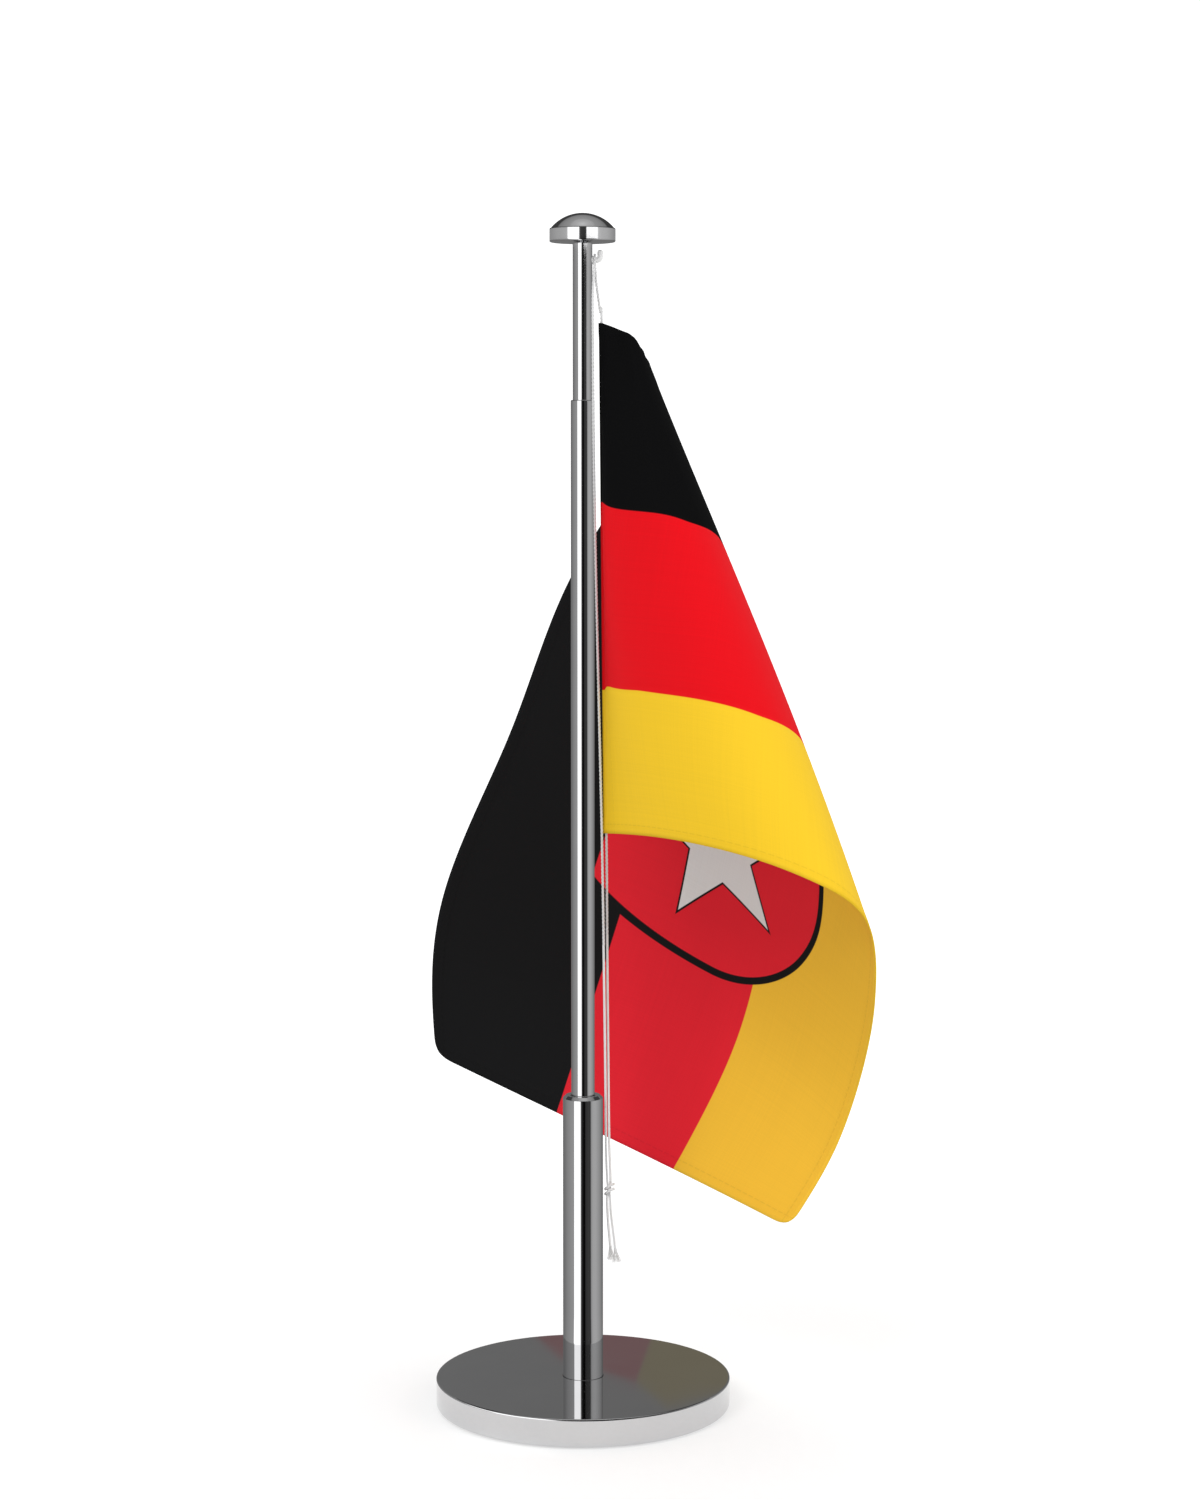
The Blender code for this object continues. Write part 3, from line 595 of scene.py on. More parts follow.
def round_corner(along, down):
    """Pull a point of the flat cloth in near a corner of the fly, which is cut round."""
    past_fly = along - (FLY - FLY_CORNER)
    half = HOIST / 2.0
    past_hem = abs(down - half) - (half - FLY_CORNER)
    if past_fly <= 0.0 or past_hem <= 0.0:
        return along, down
    squeeze = max(past_fly, past_hem) / math.hypot(past_fly, past_hem)
    from_middle = math.copysign(half - FLY_CORNER + past_hem * squeeze, down - half)
    return FLY - FLY_CORNER + past_fly * squeeze, half + from_middle


def on_leaf(along, down):
    """Where a point of the flat cloth hangs, read between the relaxed grid's points."""
    i, j = along / step_along, down / step_down
    left, top = min(int(i), ALONG_STEPS - 1), min(int(j), DOWN_STEPS - 1)
    s, t = i - left, j - top
    upper = leaf[left, top] * (1.0 - s) + leaf[left + 1, top] * s
    lower = leaf[left, top + 1] * (1.0 - s) + leaf[left + 1, top + 1] * s
    return upper * (1.0 - t) + lower * t


print("the fly's top corner is cut back to", np.round(round_corner(FLY, 0.0), 2))


# %% Flag mesh
def mesh_piece(bm, name):
    """Turn a bmesh into a smooth piece."""
    mesh = bpy.data.meshes.new(name)
    bm.to_mesh(mesh)
    bm.free()
    mesh.shade_smooth()
    return add_object(name, mesh)


def make_flag():
    """Lay a grid on the columns of cloth and print the flat cloth's measure on it."""
    steps = len(columns) - 1
    bm = bmesh.new()
    bmesh.ops.create_grid(bm, x_segments=steps, y_segments=DOWN_STEPS, size=0.5)
    for vert in bm.verts:
        column = round((vert.co.x + 0.5) * steps)
        row = round((0.5 - vert.co.y) * DOWN_STEPS)
        vert.index = column * (DOWN_STEPS + 1) + row
    bm.verts.sort()
    bm.verts.index_update()
    flat = []
    for vert in bm.verts:
        column, row = divmod(vert.index, DOWN_STEPS + 1)
        along, down = round_corner(columns[column][0], step_down * row)
        flat.append((along, down))
        place = columns[column][1][row] if along < 0.0 else on_leaf(along, down)
        vert.co = Vector(place) * MM + Vector((0.0, 0.0, hoist_top))
    uv = bm.loops.layers.uv.new("flat_cloth")
    for face in bm.faces:
        for loop in face.loops:
            along, down = flat[loop.vert.index]
            loop[uv].uv = ((along + PRINT_START) / PRINT_SPAN, printed_down(along, down) / PRINT_SPAN)
    bm.normal_update()
    bm.faces.ensure_lookup_table()
    front = min(bm.faces, key=lambda face: face.calc_center_median().y)
    if front.normal.y > 0.0:
        bmesh.ops.reverse_faces(bm, faces=bm.faces)
    return mesh_piece(bm, "flag")


flag = make_flag()
print("grid faces", len(flag.data.polygons))

# %% Thickness and hems
HEM_WIDTH = 4.0
CLOTH_THICKNESS = 0.42 * MM  # at a doubled hem
SINGLE_SHARE = 0.5  # thickness of the single cloth as a share of that
hem_group = flag.vertex_groups.new(name="hem")
for index in range(len(flag.data.vertices)):
    column, row = divmod(index, DOWN_STEPS + 1)
    from_edge = min(step_down * min(row, DOWN_STEPS - row), FLY - columns[column][0])
    hem_group.add([index], 1.0 if from_edge <= HEM_WIDTH else SINGLE_SHARE, "REPLACE")
rounding = flag.modifiers.new("rounding", "SUBSURF")
rounding.levels = 1
rounding.render_levels = 1
rounding.boundary_smooth = "PRESERVE_CORNERS"
solid = flag.modifiers.new("cloth_thickness", "SOLIDIFY")
solid.thickness = CLOTH_THICKNESS
solid.offset = 0.0
solid.vertex_group = "hem"
solid.material_offset = 1  # the reverse of the cloth has its own finish
stands_for(flag, "top_mast", "flag_cloth", "flag_cloth", "hoist_hem")

# %% [markdown]
# ## Turned parts
#
# Everything chromed on the stand was turned on a lathe, so its outline is drawn once, as
# radius and height, and spun round the axis. Every edge on the real parts is eased, because a
# polisher cannot leave a knife edge. The outline therefore gives a radius for each corner,
# and a helper puts a short arc there. Those small arcs catch the bright lines that make
# chrome look real.

# %% Spinning outlines
ROUND_STEPS = 6
FLAT_STRIP = 0.03 * MM  # narrow flat strip beside an arc, which keeps flats true
SMOOTH_ANGLE = math.radians(32.0)


def eased(corners):
    """Replace each (radius, height, easing) corner by a short arc of that easing."""
    points = []
    count = len(corners)
    for i, (r, z, easing) in enumerate(corners):
        here = Vector((r, z))
        if easing == 0.0:
            points.append(here)
            continue
        before = (Vector(corners[i - 1][:2]) - here).normalized()
        after = (Vector(corners[(i + 1) % count][:2]) - here).normalized()
        half = before.angle(after) / 2.0
        centre = here + (before + after).normalized() * easing / math.sin(half)
        start = here + before * easing / math.tan(half) - centre
        end = here + after * easing / math.tan(half) - centre
        for step in range(ROUND_STEPS + 1):
            share = step / ROUND_STEPS
            spread = start.angle(end)
            arm = (start * math.sin((1.0 - share) * spread) + end * math.sin(share * spread))
            points.append(centre + arm / math.sin(spread))
        points.insert(-ROUND_STEPS - 1, centre + start + before * FLAT_STRIP)
        points.append(centre + end + after * FLAT_STRIP)
    return points


def spin_outline(points, steps, axis=(0, 0, 1), closed=True):
    """A bmesh of an outline spun once round an axis; a closed one is a ring's section."""
    bm = bmesh.new()
    dots = [bm.verts.new(point) for point in points]
    pairs = list(zip(dots, dots[1:])) + [(dots[-1], dots[0])] * closed
    lines = [bm.edges.new(pair) for pair in pairs]
    bmesh.ops.spin(bm, geom=dots + lines, cent=(0, 0, 0), axis=axis, angle=math.tau,
                   steps=steps, use_merge=True, use_duplicate=False)
    return bm


def welded(bm, name):
    """Weld seams and poles, and turn the faces outwards."""
    bmesh.ops.remove_doubles(bm, verts=bm.verts, dist=0.0005 * MM)
    bmesh.ops.recalc_face_normals(bm, faces=bm.faces)
    return mesh_piece(bm, name)


def finish_turned(bm, name):
    piece = welded(bm, name)
    piece.data.set_sharp_from_angle(angle=SMOOTH_ANGLE)
    print(name, "faces:", len(piece.data.polygons))
    return piece


def turned(name, corners, sides, on_axis=False):
    """Spin an outline round the mast's axis; on_axis ones start and end on the axis."""
    points = [(point.x, 0.0, point.y) for point in eased(corners)]
    return finish_turned(spin_outline(points, sides, closed=not on_axis), name)


# %% [markdown]
# ## The base
#
# The base is a steel disc, mirror polished and chromed, with a shallow seat that centres the
# column and a recess for the felt underneath. Its top edge is eased by half a millimetre and
# its foot a little more. The top face is dead flat, so it reflects like a mirror.

# %% Base
SEAT_RADIUS = column_high.x + 0.16 * MM
SEAT_DEPTH = 1.0 * MM
SCREW_HOLE = 2.8 * MM
COUNTERBORE_RADIUS = 5.3 * MM
base_top = base_high.z
recess_top = pad_high.z + 0.3 * MM
counterbore_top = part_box("base_washer")[1].z + 0.3 * MM
recess_radius = pad_high.x + 0.3 * MM
base = turned("base", (
    (base_high.x, base_low.z, 1.2 * MM), (base_high.x, base_top, 0.5 * MM),
    (SEAT_RADIUS, base_top, 0.12 * MM), (SEAT_RADIUS, base_top - SEAT_DEPTH, 0.0),
    (SCREW_HOLE, base_top - SEAT_DEPTH, 0.0), (SCREW_HOLE, counterbore_top, 0.0),
    (COUNTERBORE_RADIUS, counterbore_top, 0.0), (COUNTERBORE_RADIUS, recess_top, 0.1 * MM),
    (recess_radius, recess_top, 0.0), (recess_radius, base_low.z, 0.2 * MM),
), sides=192)
stands_for(base, "base", "chrome", "base_disc")

felt = turned("felt_disc", (
    (0.0, pad_low.z, 0.0), (pad_high.x, pad_low.z, 0.25 * MM), (pad_high.x, pad_high.z, 0.1 * MM),
    (0.0, pad_high.z, 0.0),
), sides=128, on_axis=True)
stands_for(felt, "base", "felt", "felt_pad")

# %% [markdown]
# ## The column and the two tubes
#
# The column is a thick tube that ends in a chamfer with a dark ring round the tube inside it.
# The middle tube's end is rolled inwards, which guides the thin top tube. Each outline goes
# up the outside, over the mouth and down the bore. Both tubes are drawn over their whole
# length, so they stay whole when the mast is pulled out.

# %% Column
COLUMN_BORE = 5.0 * MM
COLUMN_SHOULDER = column_high.z - 6.7 * MM
column_mouth = middle_high.x + 0.2 * MM
column = turned("column", (
    (column_high.x, column_low.z, 0.2 * MM), (column_high.x, column_high.z - 0.9 * MM, 0.25 * MM),
    (column_high.x - 0.9 * MM, column_high.z, 0.15 * MM),
    (column_mouth + 0.3 * MM, column_high.z, 0.1 * MM),
    (column_mouth, column_high.z - 0.3 * MM, 0.1 * MM), (column_mouth, COLUMN_SHOULDER, 0.0),
    (COLUMN_BORE, COLUMN_SHOULDER, 0.0), (COLUMN_BORE, column_low.z, 0.0),
), sides=96)
stands_for(column, "base", "chrome", "lower_column")

# %% Tubes
middle_bore = middle_high.x - 0.25 * MM
middle_mouth = top_high.x + 0.1 * MM
middle_tube = turned("middle_tube_chrome", (
    (middle_high.x, middle_low.z, 0.08 * MM), (middle_high.x, middle_high.z, 0.22 * MM),
    (middle_mouth, middle_high.z, 0.2 * MM), (middle_mouth, middle_high.z - 1.0 * MM, 0.0),
    (middle_bore, middle_high.z - 1.3 * MM, 0.0), (middle_bore, middle_low.z, 0.0),
), sides=80)
stands_for(middle_tube, "middle_mast", "chrome", "middle_tube")

top_bore = top_high.x - 0.35 * MM
top_tube = turned("top_tube_chrome", (
    (top_high.x, top_low.z, 0.1 * MM), (top_high.x, top_high.z, 0.1 * MM),
    (top_bore, top_high.z, 0.0), (top_bore, top_low.z, 0.0),
), sides=72)
stands_for(top_tube, "top_mast", "chrome", "top_tube")

# %% [markdown]
# ## The cap
#
# The cap is a mushroom: a flat underside, an upright rim and a low dome. The dome is part of a
# large sphere, worked out from its height and the rim's width, and it meets the rim at a
# small step that was left by the lathe tool.

# %% Cap
CAP_RIM = 4.0 * MM
CAP_DOME = 4.4 * MM
CAP_EASING = 0.35 * MM
DOME_STEPS = 28
stud_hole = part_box("cap_stud")[1].x + 0.3 * MM
hole_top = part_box("cap_stud")[1].z + 0.3 * MM
dome_edge = cap_high.x - CAP_EASING
dome_sphere = (dome_edge ** 2 + CAP_DOME ** 2) / (2.0 * CAP_DOME)
dome_centre = cap_high.z - dome_sphere
dome = []
for step in range(DOME_STEPS + 1):
    lean = math.asin(dome_edge / dome_sphere) * (1.0 - step / DOME_STEPS)
    dome.append((dome_sphere * math.sin(lean), dome_centre + dome_sphere * math.cos(lean), 0.0))
cap = turned("mushroom_cap", [
    (0.0, hole_top, 0.0), (stud_hole, hole_top, 0.0), (stud_hole, cap_low.z, 0.1 * MM),
    (cap_high.x, cap_low.z, CAP_EASING), (cap_high.x, cap_low.z + CAP_RIM, 0.3 * MM),
] + dome, sides=128, on_axis=True)
stands_for(cap, "top_mast", "chrome", "finial_cap")

# %% [markdown]
# ## The hook
#
# The hook is a short bent rod of white nylon. It starts in the tube's wall, goes out, turns
# up and ends in a round tip. A circle is extruded for the straight runs, and for the bend it
# is spun a quarter turn round the bend's centre. A small collar hides the hole in the tube.

# %% Hook
ROD_RADIUS = 0.8 * MM
ROOT_DEPTH = 0.25 * MM  # how far the rod starts inside the tube's wall
HOOK_REACH = 2.25 * MM
HOOK_RISE = 3.0 * MM
HOOK_SIDES = 20
tip_x = top_high.x + HOOK_REACH
bend_radius = 0.95 * MM


def move_ring(bm, ring, shift):
    """Extrude a ring of edges and move the new ring."""
    made = bmesh.ops.extrude_edge_only(bm, edges=ring)["geom"]
    verts = [item for item in made if isinstance(item, bmesh.types.BMVert)]
    bmesh.ops.translate(bm, verts=verts, vec=shift)
    return [item for item in made if isinstance(item, bmesh.types.BMEdge)]


def ring_verts(ring):
    return list({vert for edge in ring for vert in edge.verts})


bm = bmesh.new()
bmesh.ops.create_circle(bm, cap_ends=False, segments=HOOK_SIDES, radius=ROD_RADIUS)
bmesh.ops.rotate(bm, verts=bm.verts, cent=(0, 0, 0), matrix=Matrix.Rotation(math.radians(90), 3, "Y"))
bmesh.ops.translate(bm, verts=bm.verts, vec=(top_high.x - ROOT_DEPTH, 0.0, shank_height))
ring = list(bm.edges)
bmesh.ops.contextual_create(bm, geom=ring)
ring = move_ring(bm, ring, (tip_x - bend_radius - top_high.x + ROOT_DEPTH, 0.0, 0.0))
bend_centre = (tip_x - bend_radius, 0.0, shank_height + bend_radius)
spun = bmesh.ops.spin(bm, geom=ring, cent=bend_centre, axis=(0, -1, 0), angle=math.radians(90),
                      steps=10, use_merge=False, use_duplicate=False)
ring = [item for item in spun["geom_last"] if isinstance(item, bmesh.types.BMEdge)]
ring = move_ring(bm, ring, (0.0, 0.0, HOOK_RISE - bend_radius - ROD_RADIUS))
for step in range(1, 7):
    lean = math.radians(15.0 * step)
    before = math.radians(15.0 * (step - 1))
    ring = move_ring(bm, ring, (0.0, 0.0, ROD_RADIUS * (math.sin(lean) - math.sin(before))))
    size = max(0.02, math.cos(lean)) / math.cos(before)
    bmesh.ops.scale(bm, verts=ring_verts(ring), vec=(size, size, 1.0),
                    space=Matrix.Translation((-tip_x, 0.0, 0.0)))
bmesh.ops.contextual_create(bm, geom=ring)
hook = finish_turned(bm, "hook")
stands_for(hook, "top_mast", "nylon", "halyard_hook")

# %% Hook collar
# Millimetres from the rod's axis, and out from the tube's wall.
COLLAR = ((0.85, -0.3), (1.25, -0.3), (1.25, 0.12), (1.1, 0.3), (0.85, 0.3))
bm = spin_outline([(out * MM, 0.0, radius * MM) for radius, out in COLLAR], 32, axis=(1, 0, 0))
bmesh.ops.translate(bm, verts=bm.verts, vec=(top_high.x, 0.0, shank_height))
collar = finish_turned(bm, "hook_collar")
stands_for(collar, "top_mast", "nylon")

# %% [markdown]
# ## Sums in a finish
#
# A finish is a little network of nodes. Wiring many Math nodes by hand is hard to read, so
# one small class stands for a socket and lets Python's own signs add those nodes: `1 - mask`
# makes a Subtract node. Anything else comes from its one method `node`, which takes the
# node's type, its settings, and the values or links of its sockets.

# %% Wires
class Wire:
    """A socket in a finish's node tree that takes part in sums."""

    def __init__(self, tree, socket=None):
        self.tree = tree
        self.socket = socket

    def node(self, kind, sockets=None, out=0, **settings):
        """Add a node: first its settings, then the values or links of its sockets."""
        made = self.tree.nodes.new("ShaderNode" + kind)
        for name, value in settings.items():
            if name == "stops":
                set_stops(made.color_ramp, value)
            else:
                setattr(made, name, value)
        for name, value in (sockets or {}).items():
            if isinstance(value, Wire):
                self.tree.links.new(value.socket, made.inputs[name])
            else:
                made.inputs[name].default_value = value
        return Wire(self.tree, None if out is None else made.outputs[out])

    def math(self, operation, *values, clamp=False):
        return self.node("Math", dict(enumerate(values)), operation=operation, use_clamp=clamp)

    def __add__(self, other):
        return self.math("ADD", self, other)

    def __sub__(self, other):
        return self.math("SUBTRACT", self, other)

    def __rsub__(self, other):
        return self.math("SUBTRACT", other, self)

    def __mul__(self, other):
        return self.math("MULTIPLY", self, other)

    def __truediv__(self, other):
        return self.math("DIVIDE", self, other)

    __radd__ = __add__
    __rmul__ = __mul__

    def root(self):
        return self.math("SQRT", self)

    def size(self):
        return self.math("ABSOLUTE", self)

    def larger(self, other):
        return self.math("MAXIMUM", self, other)

    def below(self, edge, softness):
        """1 where the value is under the edge, 0 above, with a soft change between."""
        return self.math("MULTIPLY_ADD", self, -1.0 / softness, edge / softness + 0.5, clamp=True)

    def mix(self, first, second):
        """The first colour where this mask is 0, the second where it is 1."""
        tones = [tone if isinstance(tone, Wire) else (*tone, 1.0) for tone in (first, second)]
        return self.node("Mix", {0: self, 6: tones[0], 7: tones[1]}, out=2, data_type="RGBA")

    def parts(self):
        made = self.node("SeparateXYZ", {0: self}).socket.node
        return [Wire(self.tree, part) for part in made.outputs]

    def from_axis(self):
        """Distance from the mast's axis, where this is a place."""
        x, y, _ = self.parts()
        return (x * x + y * y).root()

    def noise(self, scale, detail=2.0, roughness=0.5, stretch=None):
        """Noise at this place, which may be stretched first."""
        place = self
        if stretch:
            place = self.node("Mapping", {"Vector": self, "Scale": stretch})
        sockets = {"Vector": place, "Scale": scale, "Detail": detail, "Roughness": roughness}
        return self.node("TexNoise", sockets)

    def bump(self, strength, distance):
        """A surface raised where this is high; distance in millimetres."""
        sockets = {"Height": self, "Strength": strength, "Distance": distance * MM}
        return self.node("Bump", sockets)


def set_stops(ramp, stops):
    """Give a colour ramp its greys."""
    while len(ramp.elements) < len(stops):
        ramp.elements.new(1.0)
    for element, (place, shade) in zip(ramp.elements, stops):
        element.position = place
        element.color = (shade, shade, shade, 1.0)


print("signs with a reflected form:", [sign for sign in vars(Wire) if sign.startswith("__r")])

# %% [markdown]
# ## A finish and its shader
#
# Every finish is one Principled shader. What is the same all over is set on the shader's own
# sockets; what changes over the surface is a sum, linked to a socket by name. Sums start
# from a place on the piece: object coordinates, or the flat measure of a cloth.

# %% Finishes
def new_finish(name, coordinates="Object", **constants):
    """A material, a function that links sums to its shader, and the place on the piece."""
    material = bpy.data.materials.new(name)
    material.use_nodes = True
    tree = material.node_tree
    inputs = tree.nodes["Principled BSDF"].inputs
    for socket, value in constants.items():
        inputs[socket.replace("_", " ")].default_value = value

    def feed(**sums):
        for socket, wire in sums.items():
            tree.links.new(wire.socket, inputs[socket.replace("_", " ")])

    return material, feed, Wire(tree).node("TexCoord", out=coordinates)


def dress(material, *pieces):
    """Show a finish on some pieces, in place of what they had."""
    for piece in pieces:
        piece.data.materials.clear()
        piece.data.materials.append(material)
    print(material.name, "on", [piece.name for piece in pieces])


# %% [markdown]
# ## Chrome
#
# Chrome plate reflects a bit over half of the light, nearly without a tint. What makes it
# look real is small: a faint haze where fingers have touched it, which is a slow change in
# roughness, and hairlines from the polishing wheel, which run round a turned part. The
# hairlines are a bump a few thousandths of a millimetre deep, so they only soften the
# brightest edges.

# %% Chrome
CHROME = (0.62, 0.62, 0.626)
TOUCHED_CHROME = (0.60, 0.60, 0.608)


def chrome_finish(name, rings_on_face):
    """Polished chrome; the hairlines run in rings on a face, or round an upright wall."""
    material, feed, place = new_finish(name, Metallic=1.0)
    haze = place.noise(46.0, detail=4.0, roughness=0.6)
    specks = place.noise(1900.0, detail=1.0)
    across = place.from_axis() if rings_on_face else place.parts()[2]
    hairlines = place.node("CombineXYZ", {0: across}).noise(5200.0, roughness=0.7)
    feed(Base_Color=haze.below(0.44, 0.3).mix(CHROME, TOUCHED_CHROME),
         Roughness=0.022 + 0.03 * (1.0 - haze.below(0.5, 0.35)) + 0.012 * specks,
         Normal=hairlines.bump(0.05, 0.004))
    return material


dress(chrome_finish("chrome_base", rings_on_face=True), base)
dress(chrome_finish("chrome_tube", rings_on_face=False), column, middle_tube, top_tube, cap)

# %% [markdown]
# ## Printed cloth
#
# The flag is a light polyester weave with three printed stripes: black, red and gold. A plain
# red shield with a dark edge and a simple white star lies across them, nearer to the fly. Ink
# soaks through thin cloth, so the reverse has the same print, a little paler. The
# pattern is worked out in millimetres of flat cloth from the UV map, so it bends with every
# fold and shows on both sides. Each edge of the print is a little soft, as ink runs into
# thread.
#
# The threads are two sets of fine waves that cross, and they feed a bump. Slow changes of
# brightness along single threads keep the stripes from looking like paint. The hems and the
# sleeve are sewn with a running stitch.

# %% Shield and star
SHIELD_MIDDLE = 149.0  # from the hoist
SHIELD_HALF_WIDTH = 41.8
SHIELD_TOP = 37.0  # below the top hem
SHIELD_TURN = 84.0  # where it is widest
SHIELD_BELLY = 36.5  # from there down to its round lower end
SHIELD_SHOULDER = 66.0  # how slowly its sides draw in above that
SHIELD_LINE = 1.2  # half the width of its dark edge
STAR_MIDDLE = 77.0
STAR_RADIUS = 31.0
STAR_NOTCH = 0.42  # how deep the notches are, as a share of the radius


def star_edge(right, up):
    """Distance from a five-pointed star's edge, less than nothing inside."""
    tenth = math.pi / 5.0
    folded = right.math("PINGPONG", right.math("ARCTAN2", right, up), tenth)
    reach = (right * right + up * up).root()
    tip = Vector((STAR_RADIUS, 0.0))
    notch = Vector((math.cos(tenth), math.sin(tenth))) * STAR_RADIUS * STAR_NOTCH
    side = (notch - tip).normalized()
    outward = Vector((side.y, -side.x))
    outward *= 1.0 if outward.dot(tip) > 0.0 else -1.0
    along = reach * right.math("COSINE", folded)
    across = reach * right.math("SINE", folded)
    return along * outward.x + across * outward.y - outward.dot(tip)


def shield_edge(right, down):
    """Distance from the shield's edge, less than nothing inside."""
    widest = right / SHIELD_HALF_WIDTH
    belly = (down - SHIELD_TURN).larger(0.0) / SHIELD_BELLY
    shoulder = (SHIELD_TURN - down).larger(0.0) / SHIELD_SHOULDER
    swell = (widest * widest + belly * belly + shoulder * shoulder).root()
    return ((swell - 1.0) * SHIELD_HALF_WIDTH).larger(SHIELD_TOP - down)


def print_colours(right, down, black, red, gold, white):
    """The printed pattern: three stripes with a shield across them, and a star on that."""
    stripes = down.below(STRIPES[2], 0.25).mix(gold, down.below(STRIPES[1], 0.25).mix(red, black))
    star = star_edge(right, STAR_MIDDLE - down)
    arms = star.size().below(0.32, 0.2).mix(star.below(0.0, 0.2).mix(red, white), black)
    edge = shield_edge(right, down)
    field = edge.below(0.0, 0.25).mix(stripes, arms)
    return edge.size().below(SHIELD_LINE, 0.25).mix(field, black)


print("shield", 2.0 * SHIELD_HALF_WIDTH, "mm wide, star", 2.0 * STAR_RADIUS, "mm across")

# %% Cloth
THREAD_PITCH = 0.42
STITCH_LINE = 3.2  # in from an edge
SLEEVE_STITCH = 6.2  # from the hoist
STITCH_LENGTH = 2.6


def running_stitch(off, travel):
    """Mask of a stitched line; off is the distance from it, travel the way along it."""
    beat = off.math("FRACT", travel / STITCH_LENGTH)
    return off.size().below(0.2, 0.12) * (beat - 0.5).size().below(0.36, 0.08)


def thread_tones(uneven, ink):
    """An ink on uneven threads, a little darker on some and a little lighter on others."""
    return uneven.mix([part * 0.93 for part in ink], [part * 1.07 for part in ink])


def cloth_finish(name, *inks):
    """Printed weave with sewn hems; the inks are black, red, gold and bare white."""
    material, feed, flat = new_finish(name, "UV", Specular_IOR_Level=0.05, Sheen_Weight=0.006,
                                      Sheen_Roughness=0.4)
    u, v, _ = flat.parts()
    along = u * PRINT_SPAN - PRINT_START
    down = v * PRINT_SPAN
    slow_along = flat.noise(1.0, detail=1.0, stretch=(3.0, 700.0, 1.0))
    slow_down = flat.noise(1.0, detail=1.0, stretch=(700.0, 3.0, 1.0))
    uneven = slow_along * 0.5 + slow_down * 0.5
    printed = print_colours(along - SHIELD_MIDDLE, down, *(thread_tones(uneven, ink) for ink in inks))

    from_hem = flat.math("MINIMUM", down, HOIST - down)
    from_fly = FLY - along
    sewn = running_stitch(from_hem - STITCH_LINE, along)
    sewn = sewn.larger(running_stitch(from_fly - STITCH_LINE, down))
    sewn = sewn.larger(running_stitch(along - SLEEVE_STITCH, down))
    hem = flat.math("MINIMUM", from_hem, from_fly).below(HEM_WIDTH, 0.3)
    shaded = flat.node("HueSaturation", {"Value": 1.0 - 0.08 * sewn - 0.02 * hem, "Color": printed})

    warp, weft = (flat.math("SINE", way * (math.pi / THREAD_PITCH)) for way in (along, down))
    weave = (warp * weft).size()
    feed(Base_Color=shaded, Roughness=0.80 - 0.08 * weave + 0.06 * uneven,
         Normal=(weave * 0.35 + uneven * 0.25 + sewn).bump(0.35, 0.05))
    return material


dress(cloth_finish("printed_face", (0.0035, 0.0035, 0.0038), (0.80, 0.0035, 0.0095),
                   (0.93, 0.595, 0.024), (0.86, 0.86, 0.86)), flag)
flag.data.materials.append(
    cloth_finish("printed_reverse", (0.0105, 0.0105, 0.0110), (0.82, 0.019, 0.034),
                 (0.95, 0.56, 0.046), (0.80, 0.80, 0.795)))
print("cloth finish has", len(flag.active_material.node_tree.nodes), "nodes a side")

# %% [markdown]
# ## Cord and felt
#
# The cord is white polyester: nearly white plies, a little darker where single fibres part.
# The felt is pressed black wool.

# %% Cord and felt
def cord_finish():
    material, feed, place = new_finish("white_cord", Sheen_Weight=0.15, Specular_IOR_Level=0.3)
    fibres = place.noise(1.0, stretch=(9000.0, 9000.0, 1500.0))
    clean = fibres.mix((0.74, 0.74, 0.745), (0.93, 0.93, 0.93))
    feed(Base_Color=place.noise(160.0).below(0.40, 0.2).mix(clean, (0.78, 0.775, 0.76)),
         Roughness=0.62 + 0.2 * fibres, Normal=fibres.bump(0.35, 0.03))
    return material


def felt_finish():
    material, feed, place = new_finish("black_felt", Sheen_Weight=0.4, Specular_IOR_Level=0.15)
    wool = place.noise(2600.0, detail=3.0, roughness=0.7)
    tufts = place.noise(300.0)
    feed(Base_Color=(wool * tufts * 1.8).mix((0.010, 0.010, 0.011), (0.045, 0.045, 0.05)),
         Roughness=0.9 + 0.08 * tufts, Normal=wool.bump(0.8, 0.15))
    return material


dress(cord_finish(), free_cord, hem_cord, knot, long_brush, short_brush)
dress(felt_finish(), felt)

# %% [markdown]
# ## Nylon and the parts inside
#
# Moulded nylon is milky, with a faint cloud of tone. The hook is white; the bush and the
# sleeve in the column are left in the natural colour. The other inner parts are zinc-plated
# steel and brass, which keep the fine rings of the lathe. They show only when the stand is
# turned over or pulled out. One function makes all four finishes, because each is a cloud of
# two tones with a finer grain on top, and the grain is drawn out into rings on the metals.

# %% Nylon and inner parts
def quiet_finish(name, dark, light, cloud, grain_scale, roughness, bump, rings=False, **constants):
    """Two tones in a cloud, under a grain that roughens and raises the surface a little."""
    material, feed, place = new_finish(name, **constants)
    fine = place
    if rings:
        fine = place.node("CombineXYZ", {0: place.parts()[2] + place.from_axis()})
    grain = fine.noise(grain_scale)
    feed(Base_Color=place.noise(*cloud).mix(dark, light), Roughness=roughness[0] + roughness[1] * grain,
         Normal=grain.bump(*bump))
    return material


